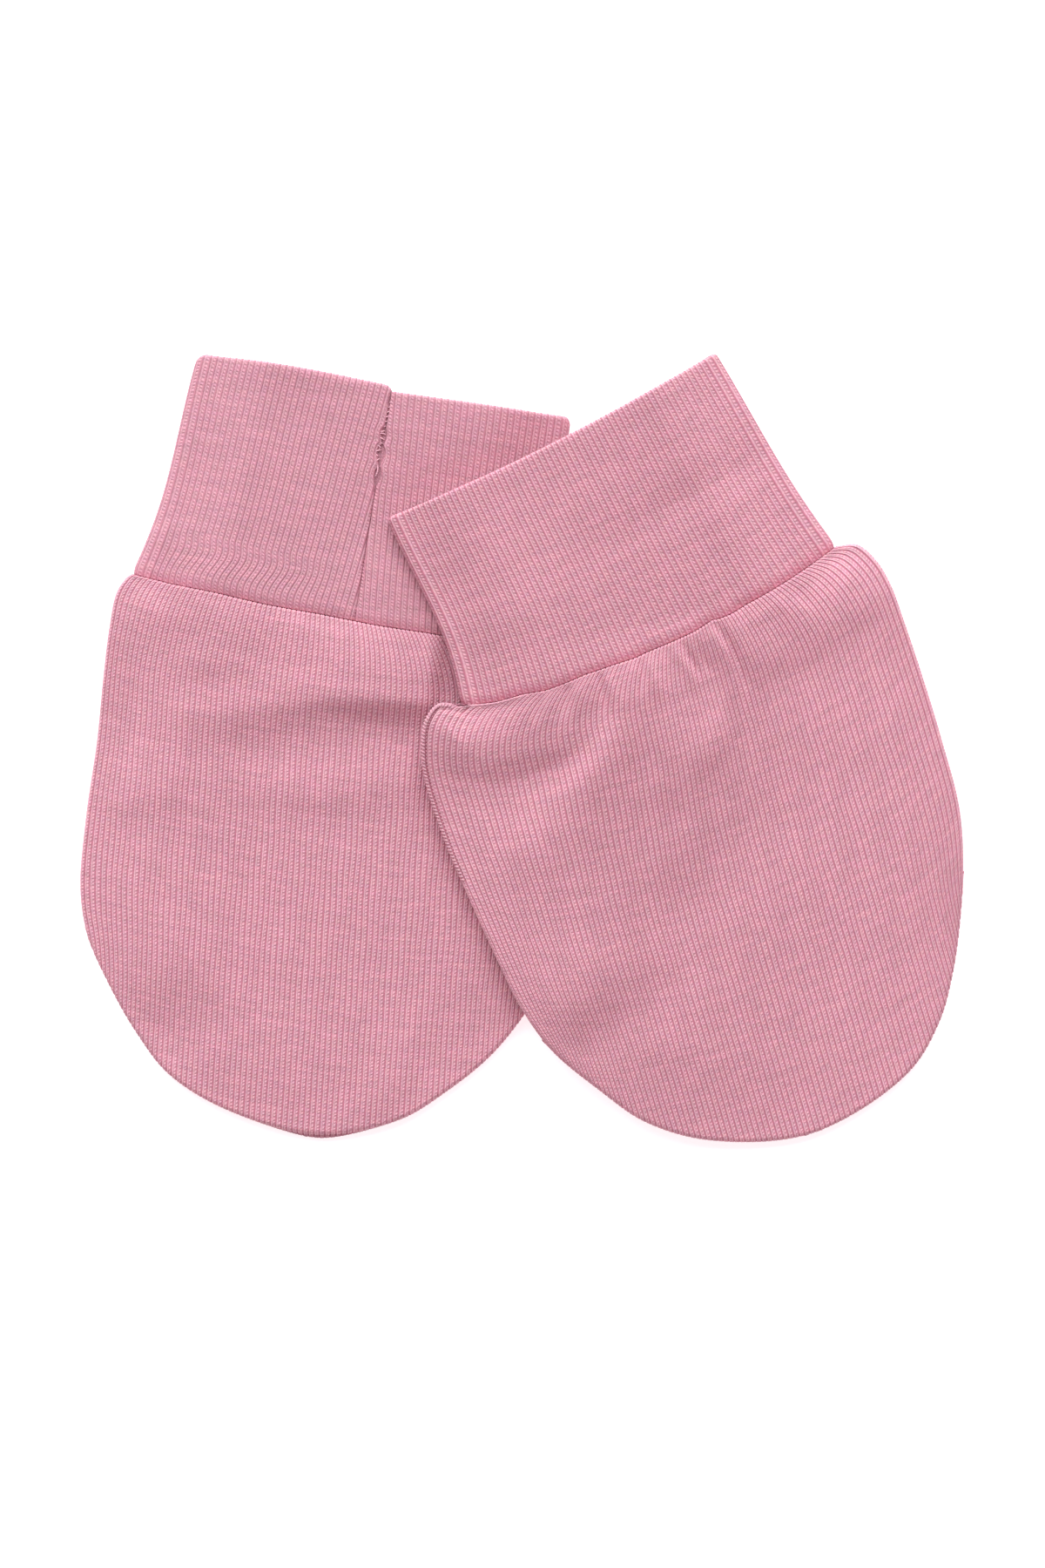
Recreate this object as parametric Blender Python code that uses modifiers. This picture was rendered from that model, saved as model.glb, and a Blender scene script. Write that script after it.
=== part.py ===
"""A pair of newborn baby mittens in fine rib knit, laid flat, the right one partly on the left.

Each mitten is a front panel and a back panel sewn round the edge, and a cuff: one strip of the
same rib joined to a ring, folded double at the wrist opening and sewn to both panels.

A mitten is described in its own frame: across runs over its width, along runs from the cuff
seam (0) to the tip. Sizes are in millimetres and become metres as the meshes are made. The
pair rests on the plane z = 0, with the middle of its outline at the origin.
"""

import math
from collections import namedtuple

import bmesh
import bpy
import numpy as np

MM = 0.001

# The knit, and how its pieces meet
CLOTH = 1.0                 # thickness of one layer
SEAM_GAP = 0.3              # between two pieces sewn to each other
LAYER_GAP = 0.3             # between the two layers of the folded cuff

# A body lying flat: a low pillow whose side seam runs round its thin edge
CROWN = 3.9                 # top of the front panel
TIP_CROWN = 2.9             # and toward the tip
CROWN_FALL = (20.0, 75.0)   # along the mitten, where the one turns into the other
EDGE_TOP = 2.4              # top of the front panel beside the side seam
EDGE_WIDTH = 14.0           # width over which it rises from there to the crown
SEAM_TOP = 4.7              # top of the front panel beside the cuff seam
SEAM_WIDTH = 8.0            # distance over which it comes down from there
SIDE_SEAM = 1.1             # top of the back panel's rim at the side seam
FRONT_CUFF_RIM = 3.7        # lowest edge of the front panel at the cuff seam
CORNER_RIM = 1.8            # and at the seam's two ends
CORNER_WIDTH = 4.0          # distance over which the one turns into the other
BACK_CUFF_RIM = 0.8         # highest edge of the back panel at the cuff seam
RIM_STEP = 0.6              # upright part of a panel's rim
SIDE_ROLL = 1.2             # width over which a panel rounds into its rim at the side seam
CUFF_ROLL = 0.6             # and at the cuff seam
RIM_BLEND = 3.0             # distance over which cuff seam rims turn into side seam rims

# The fullness eased into the cuff seam stands up as a low roll below it
PUFF_HEIGHT = 0.35
PUFF_PLACE = 6.0            # from the cuff seam to the top of the roll
PUFF_WIDTH = 4.5

# The small gathers along the cuff seam run a short way into the front panel
GATHER_WIDTH = 1.1
GATHER_LEAN = 0.12          # they spread toward the sides by this slope per share of the width

# The cuff lying flat
CUFF_THICKNESS = 5.0        # both sides of the ring, each folded double
WAIST_SHIFT = 1.5           # puts its narrowest place nearer to the seam than to the mouth
SEAM_FLATNESS = 2.5         # the bowed cuff seam is flatter in the middle than a parabola
FOLD_RADIUS = (CLOTH + LAYER_GAP) / 2

# How the right mitten lies over the left one
LIFT_AT_CUFF = 5.3          # height of its underside over the left cuff
LIFT_ABOVE_BODY = 0.4       # and its distance from the left body
LIFT_CHANGE = (14.0, 30.0)  # along the left mitten, where the one turns into the other
DRAPE_START = 0.5           # past the left mitten's edge the underside stays up this far
DRAPE_RUN = 45.0            # and then comes down to the surface over this width
FOLD_LIFT = 0.75            # it stands this much higher on the left mitten's main fold
FOLD_LIFT_PLACE = (12.0, 13.0)
FOLD_LIFT_WIDTH = 8.0

# Folds fade toward both ends of their stroke, to this share of their height
FOLD_END_SHARE = 0.35
FOLD_FADE = 4.8             # and they fade out over this distance from the side seam
PRESS_FADE = 3.0            # and over this one where the right mitten presses them flat

# Mesh detail
PANEL_CELLS = 30            # cells across a panel's grid
FLAT_PANEL_CELLS = 16       # and across one that lies flat all over
BODY_CENTRE = (0.0, 40.0)   # across, along
BODY_RADIUS = 40.0          # from a body's centre to its edge, about
RING_INSETS = {             # rings of vertices round a panel, from its edge inward
    "front": (0.0, 0.0, 0.4, 1.1, 2.2, 4.0, 6.0, 8.2, 10.5, 13.0, 16.0, 19.5, 24.0, 29.0, 34.5),
    "back": (0.0, 0.0, 0.9, 2.2),
}
CUFF_TOP_CELLS = 15
CUFF_END_CELLS = 5
CUFF_LENGTH_CELLS = 5
CUFF_FOLD_CELLS = 5
OUTER_RING = 0.999          # corners of the unit grid beyond this are on its outer ring
TINY = 1e-9                 # keeps a point on a line from being divided by its distance
WELD_WITHIN = 0.01          # the ring's first and last stations are welded where they meet

PINK = (0.694, 0.319, 0.397)
KNIT_ROUGHNESS = 0.85

# Reach: how far the body reaches to each side of its middle line, at a distance along
Reach = namedtuple("Reach", "along left right")

# Fold: a soft ridge (height above 0) or trough (below 0) in the front panel along a curved
# stroke through three points; near and far are its widths toward the cuff and toward the tip
Fold = namedtuple("Fold", "start bend end height near far")

# Gather: where it starts on the cuff seam, how far it runs, and how high it stands
Gather = namedtuple("Gather", "across length height")

LEFT = dict(
    name="left_mitten",
    place=(-27.5, 21.0),
    turn=-3.5,
    seam_left=(-33.2, -4.1),
    seam_right=(31.0, 3.8),
    seam_bow=0.9,
    mouth_left=(-25.4, -38.7),
    mouth_right=(33.1, -32.4),
    mouth_bow=0.1,          # how far the middle of the mouth edge lies toward the tip
    mouth_wave=0.75,        # and its left and right halves, one up and one down
    waist_left=1.1,         # how far the cuff's side edges are pulled in
    waist_right=0.9,
    left_shoulder=((-34.0, -3.6), (-35.5, -1.2), (-36.3, 4.2)),
    right_shoulder=((33.0, 3.7), (35.6, 6.2)),
    sides=(
        Reach(along=12.0, left=36.8, right=37.0),
        Reach(along=22.0, left=37.2, right=37.6),
        Reach(along=34.0, left=38.2, right=38.2),
        Reach(along=45.0, left=38.4, right=38.2),
        Reach(along=52.0, left=36.9, right=36.4),
        Reach(along=60.0, left=32.8, right=32.0),
        Reach(along=67.0, left=28.2, right=27.0),
        Reach(along=73.0, left=22.9, right=20.5),
        Reach(along=78.0, left=13.6, right=13.2),
    ),
    tip=(0.5, 81.0),
    folds=(
        Fold((-24.5, 16.5), (-1.6, 13.2), (18.6, 12.1), height=1.91, near=7.0, far=5.6),
        Fold((-25.3, 10.4), (-19.1, 8.8), (-12.3, 9.1), height=0.42, near=3.4, far=2.2),
        Fold((-12.8, 28.2), (-0.8, 27.5), (18.6, 23.4), height=0.55, near=5.9, far=3.3),
        Fold((-30.3, 64.6), (-26.6, 57.8), (-16.9, 52.2), height=0.45, near=7.0, far=6.0),
        Fold((-19.9, 72.5), (-18.0, 70.7), (-4.5, 72.9), height=0.26, near=4.2, far=5.2),
        Fold((-5.3, 15.1), (0.2, 15.8), (18.6, 18.3), height=-0.45, near=2.3, far=3.1),
        Fold((-35.5, 31.7), (-28.7, 28.9), (-22.4, 28.5), height=0.52, near=7.0, far=3.9),
        Fold((-14.7, -3.3), (-4.8, 0.8), (20.9, 0.6), height=-0.24, near=7.0, far=1.7),
        Fold((-34.8, 72.9), (-22.2, 68.1), (-17.0, 70.7), height=-0.43, near=7.0, far=7.0),
        Fold((4.0, 83.4), (16.1, 66.4), (21.8, 59.0), height=0.33, near=3.9, far=5.1),
        Fold((-31.0, 8.0), (-17.2, 3.6), (-15.4, -0.9), height=0.52, near=7.0, far=4.2),
    ),
    gathers=(
        Gather(across=-15.5, length=4.0, height=0.15),
        Gather(across=-6.0, length=5.0, height=0.15),
        Gather(across=1.5, length=4.0, height=0.15),
        Gather(across=9.5, length=5.0, height=0.15),
    ),
    pressed_from=13.5,      # across: from here on the right mitten lies on it and presses it flat
    lies_over=None,
)

RIGHT = dict(
    name="right_mitten",
    place=(20.1, 19.5),
    turn=18.5,
    seam_left=(-31.9, 2.9),
    seam_right=(30.9, -2.2),
    seam_bow=3.4,
    mouth_left=(-33.6, -28.1),
    mouth_right=(22.6, -36.4),
    mouth_bow=1.4,
    mouth_wave=0.0,
    waist_left=1.3,
    waist_right=0.6,
    left_shoulder=((-35.3, 1.4), (-38.3, 3.4), (-40.2, 7.6)),
    right_shoulder=((34.1, -1.6), (36.2, 1.6), (37.2, 6.0)),
    sides=(
        Reach(along=12.0, left=41.1, right=37.4),
        Reach(along=22.0, left=41.2, right=37.4),
        Reach(along=32.0, left=40.4, right=37.1),
        Reach(along=42.0, left=39.3, right=36.4),
        Reach(along=50.0, left=38.2, right=34.4),
        Reach(along=58.0, left=35.6, right=31.3),
        Reach(along=66.0, left=30.7, right=27.4),
        Reach(along=73.0, left=25.5, right=22.7),
        Reach(along=79.0, left=16.8, right=15.4),
    ),
    tip=(-1.5, 83.0),
    folds=(
        Fold((-32.7, 11.1), (-27.9, 12.4), (-16.1, 13.6), height=0.62, near=5.2, far=2.9),
        Fold((-8.0, 2.6), (-7.0, 14.0), (-27.2, 24.5), height=0.99, near=6.2, far=7.0),
        Fold((-0.0, 15.2), (-7.5, 24.4), (-30.6, 28.1), height=0.57, near=4.3, far=4.9),
        Fold((5.2, 7.7), (3.6, 17.3), (0.8, 24.1), height=0.44, near=7.0, far=2.7),
        Fold((6.7, 17.9), (2.3, 22.0), (-3.8, 25.3), height=0.31, near=2.8, far=2.2),
        Fold((8.4, 11.2), (21.6, 9.5), (35.5, 6.1), height=0.91, near=7.0, far=3.5),
        Fold((0.1, 26.4), (-3.5, 30.9), (-16.5, 36.3), height=0.22, near=7.0, far=5.0),
        Fold((-34.4, 56.3), (-32.0, 54.6), (-22.7, 43.5), height=0.55, near=7.0, far=4.0),
        Fold((-39.4, 11.8), (-29.2, 16.7), (-15.3, 15.4), height=-0.26, near=1.3, far=7.0),
        Fold((8.9, -3.8), (11.1, 10.0), (1.5, 21.1), height=0.51, near=2.0, far=5.0),
        Fold((15.3, 13.0), (26.0, 12.1), (35.1, 5.5), height=0.20, near=2.1, far=7.0),
        Fold((-15.1, 43.8), (-9.9, 44.1), (12.0, 30.3), height=-0.59, near=7.0, far=7.0),
        Fold((-3.5, 5.9), (-14.0, 17.9), (-23.9, 22.7), height=0.88, near=2.9, far=4.7),
        Fold((-1.0, 17.5), (-4.3, 31.5), (-26.5, 33.4), height=0.23, near=3.0, far=5.8),
        Fold((-38.5, 50.3), (-31.6, 56.9), (-7.2, 52.6), height=-0.53, near=4.4, far=4.9),
        Fold((16.3, 4.4), (17.1, 6.6), (19.9, 9.7), height=-0.26, near=2.2, far=4.6),
        Fold((21.5, -0.4), (25.5, 5.0), (33.7, 2.4), height=-0.11, near=2.0, far=1.5),
        Fold((-21.2, 5.2), (-21.1, 7.5), (-18.1, 15.7), height=0.30, near=7.0, far=7.0),
        Fold((-13.6, 4.7), (-13.4, 6.8), (-19.4, 13.9), height=0.32, near=2.6, far=2.5),
        Fold((-2.0, -2.4), (3.3, 9.2), (6.9, 11.8), height=-0.42, near=3.4, far=3.8),
    ),
    gathers=(
        Gather(across=-23.0, length=4.0, height=0.2),
        Gather(across=-18.5, length=5.0, height=0.2),
        Gather(across=-14.0, length=4.5, height=0.2),
        Gather(across=-8.5, length=5.0, height=0.2),
        Gather(across=-2.0, length=4.0, height=0.2),
        Gather(across=3.0, length=5.0, height=0.25),
        Gather(across=8.3, length=6.0, height=0.3),
        Gather(across=15.5, length=5.0, height=0.2),
        Gather(across=21.5, length=4.0, height=0.2),
    ),
    pressed_from=None,
    lies_over=LEFT,
)


def smoothstep(value):
    """Rises smoothly from 0 to 1 as value goes from 0 to 1."""
    value = np.clip(value, 0.0, 1.0)
    return value * value * (3.0 - 2.0 * value)


def round_over(value):
    """A quarter circle: 0 at 0, with an upright start, level at 1 and beyond."""
    return np.sqrt(1.0 - (1.0 - np.clip(value, 0.0, 1.0)) ** 2)


def blend(first, second, share):
    return first + (second - first) * share


def smooth_curve(points, steps=12):
    """A smooth line through the points, as a dense list of points."""
    points = np.array(points)
    spans = np.sqrt(np.linalg.norm(np.diff(points, axis=0), axis=1))
    knots = np.concatenate([[0.0], np.cumsum(spans)])
    slopes = np.gradient(points, knots, axis=0)
    t = np.linspace(0.0, 1.0, steps, endpoint=False)[:, None]
    pieces = []
    for i, span in enumerate(spans):
        pieces.append(
            (2 * t**3 - 3 * t**2 + 1) * points[i]
            + (t**3 - 2 * t**2 + t) * span * slopes[i]
            + (3 * t**2 - 2 * t**3) * points[i + 1]
            + (t**3 - t**2) * span * slopes[i + 1]
        )
    pieces.append(points[-1:])
    return np.concatenate(pieces)


def point_on(line, share):
    """The points at these shares of a line's length."""
    lengths = np.concatenate([[0.0], np.cumsum(np.linalg.norm(np.diff(line, axis=0), axis=1))])
    goal = share * lengths[-1]
    return np.stack([np.interp(goal, lengths, line[:, k]) for k in (0, 1)], axis=-1)


def nearest_on(line, points):
    """For each point: its distance from a line, the share of the line nearest to it, its side.

    The side is 1 toward the tip of a line that runs left to right, -1 on its other side, and
    in between where the point lies off an end of the line.
    """
    start = line[:-1]
    step = np.diff(line, axis=0)
    offset = points[:, None, :] - start[None]
    t = np.clip((offset * step).sum(-1) / (step**2).sum(-1), 0.0, 1.0)
    away = offset - t[..., None] * step
    distance = np.linalg.norm(away, axis=-1)
    nearest = distance.argmin(axis=1)
    rows = np.arange(len(points))
    cross = step[nearest, 0] * away[rows, nearest, 1] - step[nearest, 1] * away[rows, nearest, 0]
    share = (nearest + t[rows, nearest]) / len(step)
    least = distance[rows, nearest]
    length = np.linalg.norm(step, axis=-1)[nearest]
    return least, share, cross / np.maximum(least * length, TINY)


def seam_line(mitten, share):
    """Points of the line where the cuff is sewn on, from its left end (0) to its right (1)."""
    share = np.asarray(share)[..., None]
    ends = blend(np.array(mitten["seam_left"]), np.array(mitten["seam_right"]), share)
    bow = mitten["seam_bow"] * (1.0 - np.abs(2.0 * share - 1.0) ** SEAM_FLATNESS)
    return ends + bow * np.array((0.0, 1.0))


def body_edge(mitten):
    """The body's outline: its stretch at the cuff seam and its stretch at the side seam."""
    toward_tip = np.array((0.0, SEAM_GAP / 2))
    cuff_stretch = seam_line(mitten, np.linspace(0.0, 1.0, 60)) + toward_tip
    right = [(row.right, row.along) for row in mitten["sides"]]
    left = [(-row.left, row.along) for row in reversed(mitten["sides"])]
    side_stretch = smooth_curve([
        tuple(cuff_stretch[-1]),
        *mitten["right_shoulder"], *right, mitten["tip"],
        *left, *reversed(mitten["left_shoulder"]),
        tuple(cuff_stretch[0]),
    ])
    return cuff_stretch, side_stretch


def to_pair(mitten, points):
    """From a mitten's own frame (across, along) to the frame of the pair (x, y)."""
    turn = math.radians(mitten["turn"])
    across, along = points[..., 0], points[..., 1]
    x = mitten["place"][0] + across * math.cos(turn) + along * math.sin(turn)
    y = mitten["place"][1] + across * math.sin(turn) - along * math.cos(turn)
    return np.stack([x, y], axis=-1)


def from_pair(mitten, points):
    """From the frame of the pair (x, y) to a mitten's own frame (across, along)."""
    turn = math.radians(mitten["turn"])
    x = points[..., 0] - mitten["place"][0]
    y = points[..., 1] - mitten["place"][1]
    across = x * math.cos(turn) + y * math.sin(turn)
    along = x * math.sin(turn) - y * math.cos(turn)
    return np.stack([across, along], axis=-1)


def crown_height(along):
    """Top of a front panel, away from its edges."""
    start, end = CROWN_FALL
    return blend(CROWN, TIP_CROWN, smoothstep((along - start) / (end - start)))


def lying_height(mitten, points):
    """Height of the mitten's underside: the surface, or the mitten that it lies over."""
    under = mitten["lies_over"]
    if under is None:
        return np.zeros(points.shape[:-1])
    spot = from_pair(under, to_pair(mitten, points))
    edge = [under["mouth_left"], under["mouth_right"], under["seam_right"]]
    edge += [(row.right, row.along) for row in under["sides"]] + [under["tip"]]
    distance, _, side = nearest_on(np.array(edge), spot)
    past_edge = np.where(side < 0, distance, 0.0)
    down = smoothstep((past_edge - DRAPE_START) / DRAPE_RUN)
    start, end = LIFT_CHANGE
    on_body = smoothstep((spot[:, 1] - start) / (end - start))
    height = blend(LIFT_AT_CUFF, crown_height(spot[:, 1]) + LIFT_ABOVE_BODY, on_body)
    from_fold = np.linalg.norm(spot - np.array(FOLD_LIFT_PLACE), axis=-1)
    height += FOLD_LIFT * np.exp(-((from_fold / FOLD_LIFT_WIDTH) ** 2))
    return height * (1.0 - down)


def fold_height(fold, points):
    """How far one fold lifts the front panel at each point."""
    stroke = smooth_curve([fold.start, fold.bend, fold.end], steps=8)
    distance, share, side = nearest_on(stroke, points)
    toward_tip = 0.5 + 0.5 * side * np.sign(stroke[-1, 0] - stroke[0, 0])
    width = blend(fold.near, fold.far, toward_tip)
    along_stroke = blend(FOLD_END_SHARE, 1.0, np.sin(np.pi * share))
    return fold.height * along_stroke * np.exp(-((distance / width) ** 2))


def gather_height(mitten, gather, from_cuff, points):
    """How far one gather lifts the front panel at each point."""
    middle = (mitten["seam_left"][0] + mitten["seam_right"][0]) / 2
    half_width = (mitten["seam_right"][0] - mitten["seam_left"][0]) / 2
    lean = GATHER_LEAN * (gather.across - middle) / half_width
    off_line = points[:, 0] - gather.across - lean * from_cuff
    fade = 1.0 - smoothstep(from_cuff / gather.length)
    return gather.height * fade * np.exp(-((off_line / GATHER_WIDTH) ** 2))


def front_relief(mitten, points, from_cuff, from_side):
    """The roll, folds and gathers that stand on the front panel."""
    relief = PUFF_HEIGHT * np.exp(-(((from_cuff - PUFF_PLACE) / PUFF_WIDTH) ** 2))
    for fold in mitten["folds"]:
        relief += fold_height(fold, points)
    for gather in mitten["gathers"]:
        relief += gather_height(mitten, gather, from_cuff, points)
    relief *= smoothstep(from_side / FOLD_FADE)
    if mitten["pressed_from"] is not None:
        relief *= 1.0 - smoothstep((points[:, 0] - mitten["pressed_from"]) / PRESS_FADE)
    return relief


def front_height(mitten, points, on_rim):
    """Height of the front panel's outer face above the mitten's underside."""
    cuff_stretch, side_stretch = body_edge(mitten)
    from_cuff = nearest_on(cuff_stretch, points)[0]
    from_side = nearest_on(side_stretch, points)[0]
    beside = smoothstep(from_side / CORNER_WIDTH)
    at_cuff = 1.0 - smoothstep(from_cuff / SEAM_WIDTH)
    top = blend(EDGE_TOP, crown_height(points[:, 1]), smoothstep(from_side / EDGE_WIDTH))
    top = blend(top, SEAM_TOP, beside * at_cuff)
    top += front_relief(mitten, points, from_cuff, from_side)
    rim = blend(CORNER_RIM, FRONT_CUFF_RIM, beside)
    rim = blend(rim, SIDE_SEAM + SEAM_GAP, smoothstep(from_cuff / RIM_BLEND))
    bend = np.minimum(round_over(from_side / SIDE_ROLL), round_over(from_cuff / CUFF_ROLL))
    return rim + np.where(on_rim, 0.0, RIM_STEP + (top - rim - RIM_STEP) * bend)


def back_height(mitten, points, on_rim):
    """Height of the back panel's outer face, which lies flat except near its edge."""
    cuff_stretch, side_stretch = body_edge(mitten)
    from_cuff = nearest_on(cuff_stretch, points)[0]
    from_edge = np.minimum(from_cuff, nearest_on(side_stretch, points)[0])
    rim = blend(BACK_CUFF_RIM, SIDE_SEAM, smoothstep(from_cuff / RIM_BLEND))
    below_rim = (rim - RIM_STEP) * (1.0 - round_over(from_edge / SIDE_ROLL))
    return np.where(on_rim, rim, below_rim)


def panel_spots(mitten, side, cells, corners):
    """Where the corners of a square grid (-1 to 1) lie on a panel, and which are on its rim.

    Each square ring of the grid becomes a ring round the panel: its top side follows the cuff
    seam, and its other three sides follow the side seam.
    """
    a, b = corners[:, 0], corners[:, 1]
    ring = np.maximum(np.abs(a), np.abs(b))
    scale = np.where(ring > 0, ring, 1.0)
    u, v = a / scale, b / scale
    on_cuff = (v > OUTER_RING) & (ring > 0)
    on_right = ~on_cuff & (u > OUTER_RING)
    on_tip = ~on_cuff & ~on_right & (v < -OUTER_RING)
    way_round = np.select(
        [on_right, on_tip], [(1 - v) / 2, 1 + (1 - u) / 2], default=2 + (1 + v) / 2) / 3

    cuff_stretch, side_stretch = body_edge(mitten)
    edge = np.where(
        on_cuff[:, None],
        point_on(cuff_stretch, (1 + u) / 2),
        point_on(side_stretch, way_round))

    rings = cells // 2
    insets = RING_INSETS[side]
    ring_marks = [0.0] + [(rings - k) / rings for k in reversed(range(len(insets)))]
    reach_marks = [0.0] + [1.0 - inset / BODY_RADIUS for inset in reversed(insets)]
    reach = np.interp(ring, ring_marks, reach_marks)
    centre = np.array(BODY_CENTRE)
    return centre + (edge - centre) * reach[:, None], ring > OUTER_RING


def knit_material(name):
    material = bpy.data.materials.new(name)
    material.use_nodes = True
    shader = material.node_tree.nodes["Principled BSDF"]
    shader.inputs["Base Color"].default_value = (*PINK, 1.0)
    shader.inputs["Roughness"].default_value = KNIT_ROUGHNESS
    shader.inputs["Metallic"].default_value = 0.0
    return material


def add_cloth(bm, name, holder, collection, offset):
    """Turn an open surface into an object: a closed wall one layer of cloth thick."""
    mesh = bpy.data.meshes.new(name)
    bm.to_mesh(mesh)
    bm.free()
    mesh.shade_smooth()
    mesh.materials.append(knit_material(name))
    cloth = bpy.data.objects.new(name, mesh)
    collection.objects.link(cloth)
    cloth.parent = holder
    wall = cloth.modifiers.new("Cloth", "SOLIDIFY")
    wall.thickness = CLOTH * MM
    wall.offset = offset
    wall.use_even_offset = True
    split = cloth.modifiers.new("Triangles", "TRIANGULATE")
    split.quad_method = "SHORTEST_DIAGONAL"
    return cloth


def set_places(bm, spots, heights):
    """Move a mesh's vertices to places given in a mitten's own frame."""
    for vertex, (across, along), height in zip(bm.verts, spots, heights):
        vertex.co = (across * MM, -along * MM, height * MM)


def add_panel(mitten, side, holder, collection):
    """A front or back panel: a square grid shaped to the body's outline."""
    lies_flat = side == "back" and mitten["lies_over"] is None
    cells = FLAT_PANEL_CELLS if lies_flat else PANEL_CELLS
    bm = bmesh.new()
    bmesh.ops.create_grid(bm, x_segments=cells, y_segments=cells, size=1.0)
    corners = np.array([vertex.co[:2] for vertex in bm.verts])
    spots, on_rim = panel_spots(mitten, side, cells, corners)
    height = {"front": front_height, "back": back_height}[side](mitten, spots, on_rim)
    set_places(bm, spots, height + lying_height(mitten, spots))
    # The modelled face is the outer one: a front panel's wall grows down, a back panel's up.
    offset = {"front": -1.0, "back": 1.0}[side]
    add_cloth(bm, f"{mitten['name']}_{side}", holder, collection, offset)


def ring_stations():
    """Round the flattened ring: (place across the flat part, -1 to 1; angle of its face)."""
    top = np.linspace(-1.0, 1.0, CUFF_TOP_CELLS + 1)
    turn = np.linspace(90.0, -90.0, CUFF_END_CELLS + 1)[1:-1]
    stations = [(place, 90.0) for place in top]
    stations += [(1.0, angle) for angle in turn]
    stations += [(place, -90.0) for place in reversed(top)]
    stations += [(-1.0, -180.0 + angle) for angle in turn]
    return stations + [(-1.0, -270.0)]


def strip_profile():
    """Along the folded strip: (share of the length from mouth to seam, place on the fold).

    The outer layer runs from the seam to the fold, and the inner layer back to the seam. The
    place on the fold is an angle, 0 on the outer layer and 180 on the inner one.
    """
    shares = np.linspace(1.0, 0.0, CUFF_LENGTH_CELLS + 1)
    angles = np.linspace(0.0, 180.0, CUFF_FOLD_CELLS + 1)[1:-1]
    outer = [(share, 0.0) for share in shares]
    fold = [(0.0, angle) for angle in angles]
    return outer + fold + [(share, 180.0) for share in reversed(shares)]


def cuff_spot(mitten, station, profile):
    """One point of the cuff's middle surface: its place in the mitten's frame and its height."""
    flat_place, face_angle = station
    length_share, fold_angle = profile
    fold = math.radians(fold_angle)
    face = math.radians(face_angle)
    depth = CLOTH / 2 + FOLD_RADIUS * (1.0 - math.cos(fold))
    radius = CUFF_THICKNESS / 2 - depth

    mouth_left, mouth_right = np.array(mitten["mouth_left"]), np.array(mitten["mouth_right"])
    half_width = np.linalg.norm(mouth_right - mouth_left) / 2
    flat_half = half_width - CUFF_THICKNESS / 2
    side = (flat_place * flat_half + radius * math.cos(face)) / half_width
    share = (1.0 + side) / 2
    mouth = blend(mouth_left, mouth_right, share)
    mouth[1] += mitten["mouth_bow"] * (1.0 - side**2)
    mouth[1] -= mitten["mouth_wave"] * math.sin(2 * math.pi * share)
    seam = seam_line(mitten, share)
    length = np.linalg.norm(seam - mouth)
    fold_start = CLOTH / 2 + FOLD_RADIUS
    from_mouth = fold_start - FOLD_RADIUS * math.sin(fold)
    from_mouth += length_share * (length - SEAM_GAP / 2 - fold_start)
    spot = blend(mouth, seam, from_mouth / length)
    waist = mitten["waist_left"] if side < 0 else mitten["waist_right"]
    spot[0] -= waist * side * math.sin(math.pi * (from_mouth / length) ** WAIST_SHIFT)
    return spot, CUFF_THICKNESS / 2 + radius * math.sin(face)


def add_cuff(mitten, holder, collection):
    """The cuff: a strip joined to a ring, lying flat, folded double at the mouth."""
    stations = ring_stations()
    profile = strip_profile()
    bm = bmesh.new()
    bmesh.ops.create_grid(bm, x_segments=len(stations) - 1, y_segments=len(profile) - 1, size=1.0)
    spots, heights = [], []
    for vertex in bm.verts:
        column = round((vertex.co.x + 1) / 2 * (len(stations) - 1))
        row = round((vertex.co.y + 1) / 2 * (len(profile) - 1))
        spot, height = cuff_spot(mitten, stations[column], profile[row])
        spots.append(spot)
        heights.append(height)
    spots = np.array(spots)
    set_places(bm, spots, np.array(heights) + lying_height(mitten, spots))
    bmesh.ops.remove_doubles(bm, verts=bm.verts, dist=WELD_WITHIN * MM)
    add_cloth(bm, f"{mitten['name']}_cuff", holder, collection, 0.0)


def add_mitten(mitten, collection):
    holder = bpy.data.objects.new(f"{mitten['name']}_place", None)
    holder.location = (mitten["place"][0] * MM, mitten["place"][1] * MM, 0.0)
    holder.rotation_euler.z = math.radians(mitten["turn"])
    collection.objects.link(holder)
    add_panel(mitten, "back", holder, collection)
    add_panel(mitten, "front", holder, collection)
    add_cuff(mitten, holder, collection)


def main():
    for old in list(bpy.data.objects):
        bpy.data.objects.remove(old)
    collection = bpy.data.collections.new("baby_mittens")
    bpy.context.scene.collection.children.link(collection)
    for mitten in (LEFT, RIGHT):
        add_mitten(mitten, collection)


main()
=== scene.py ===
import math

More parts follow.
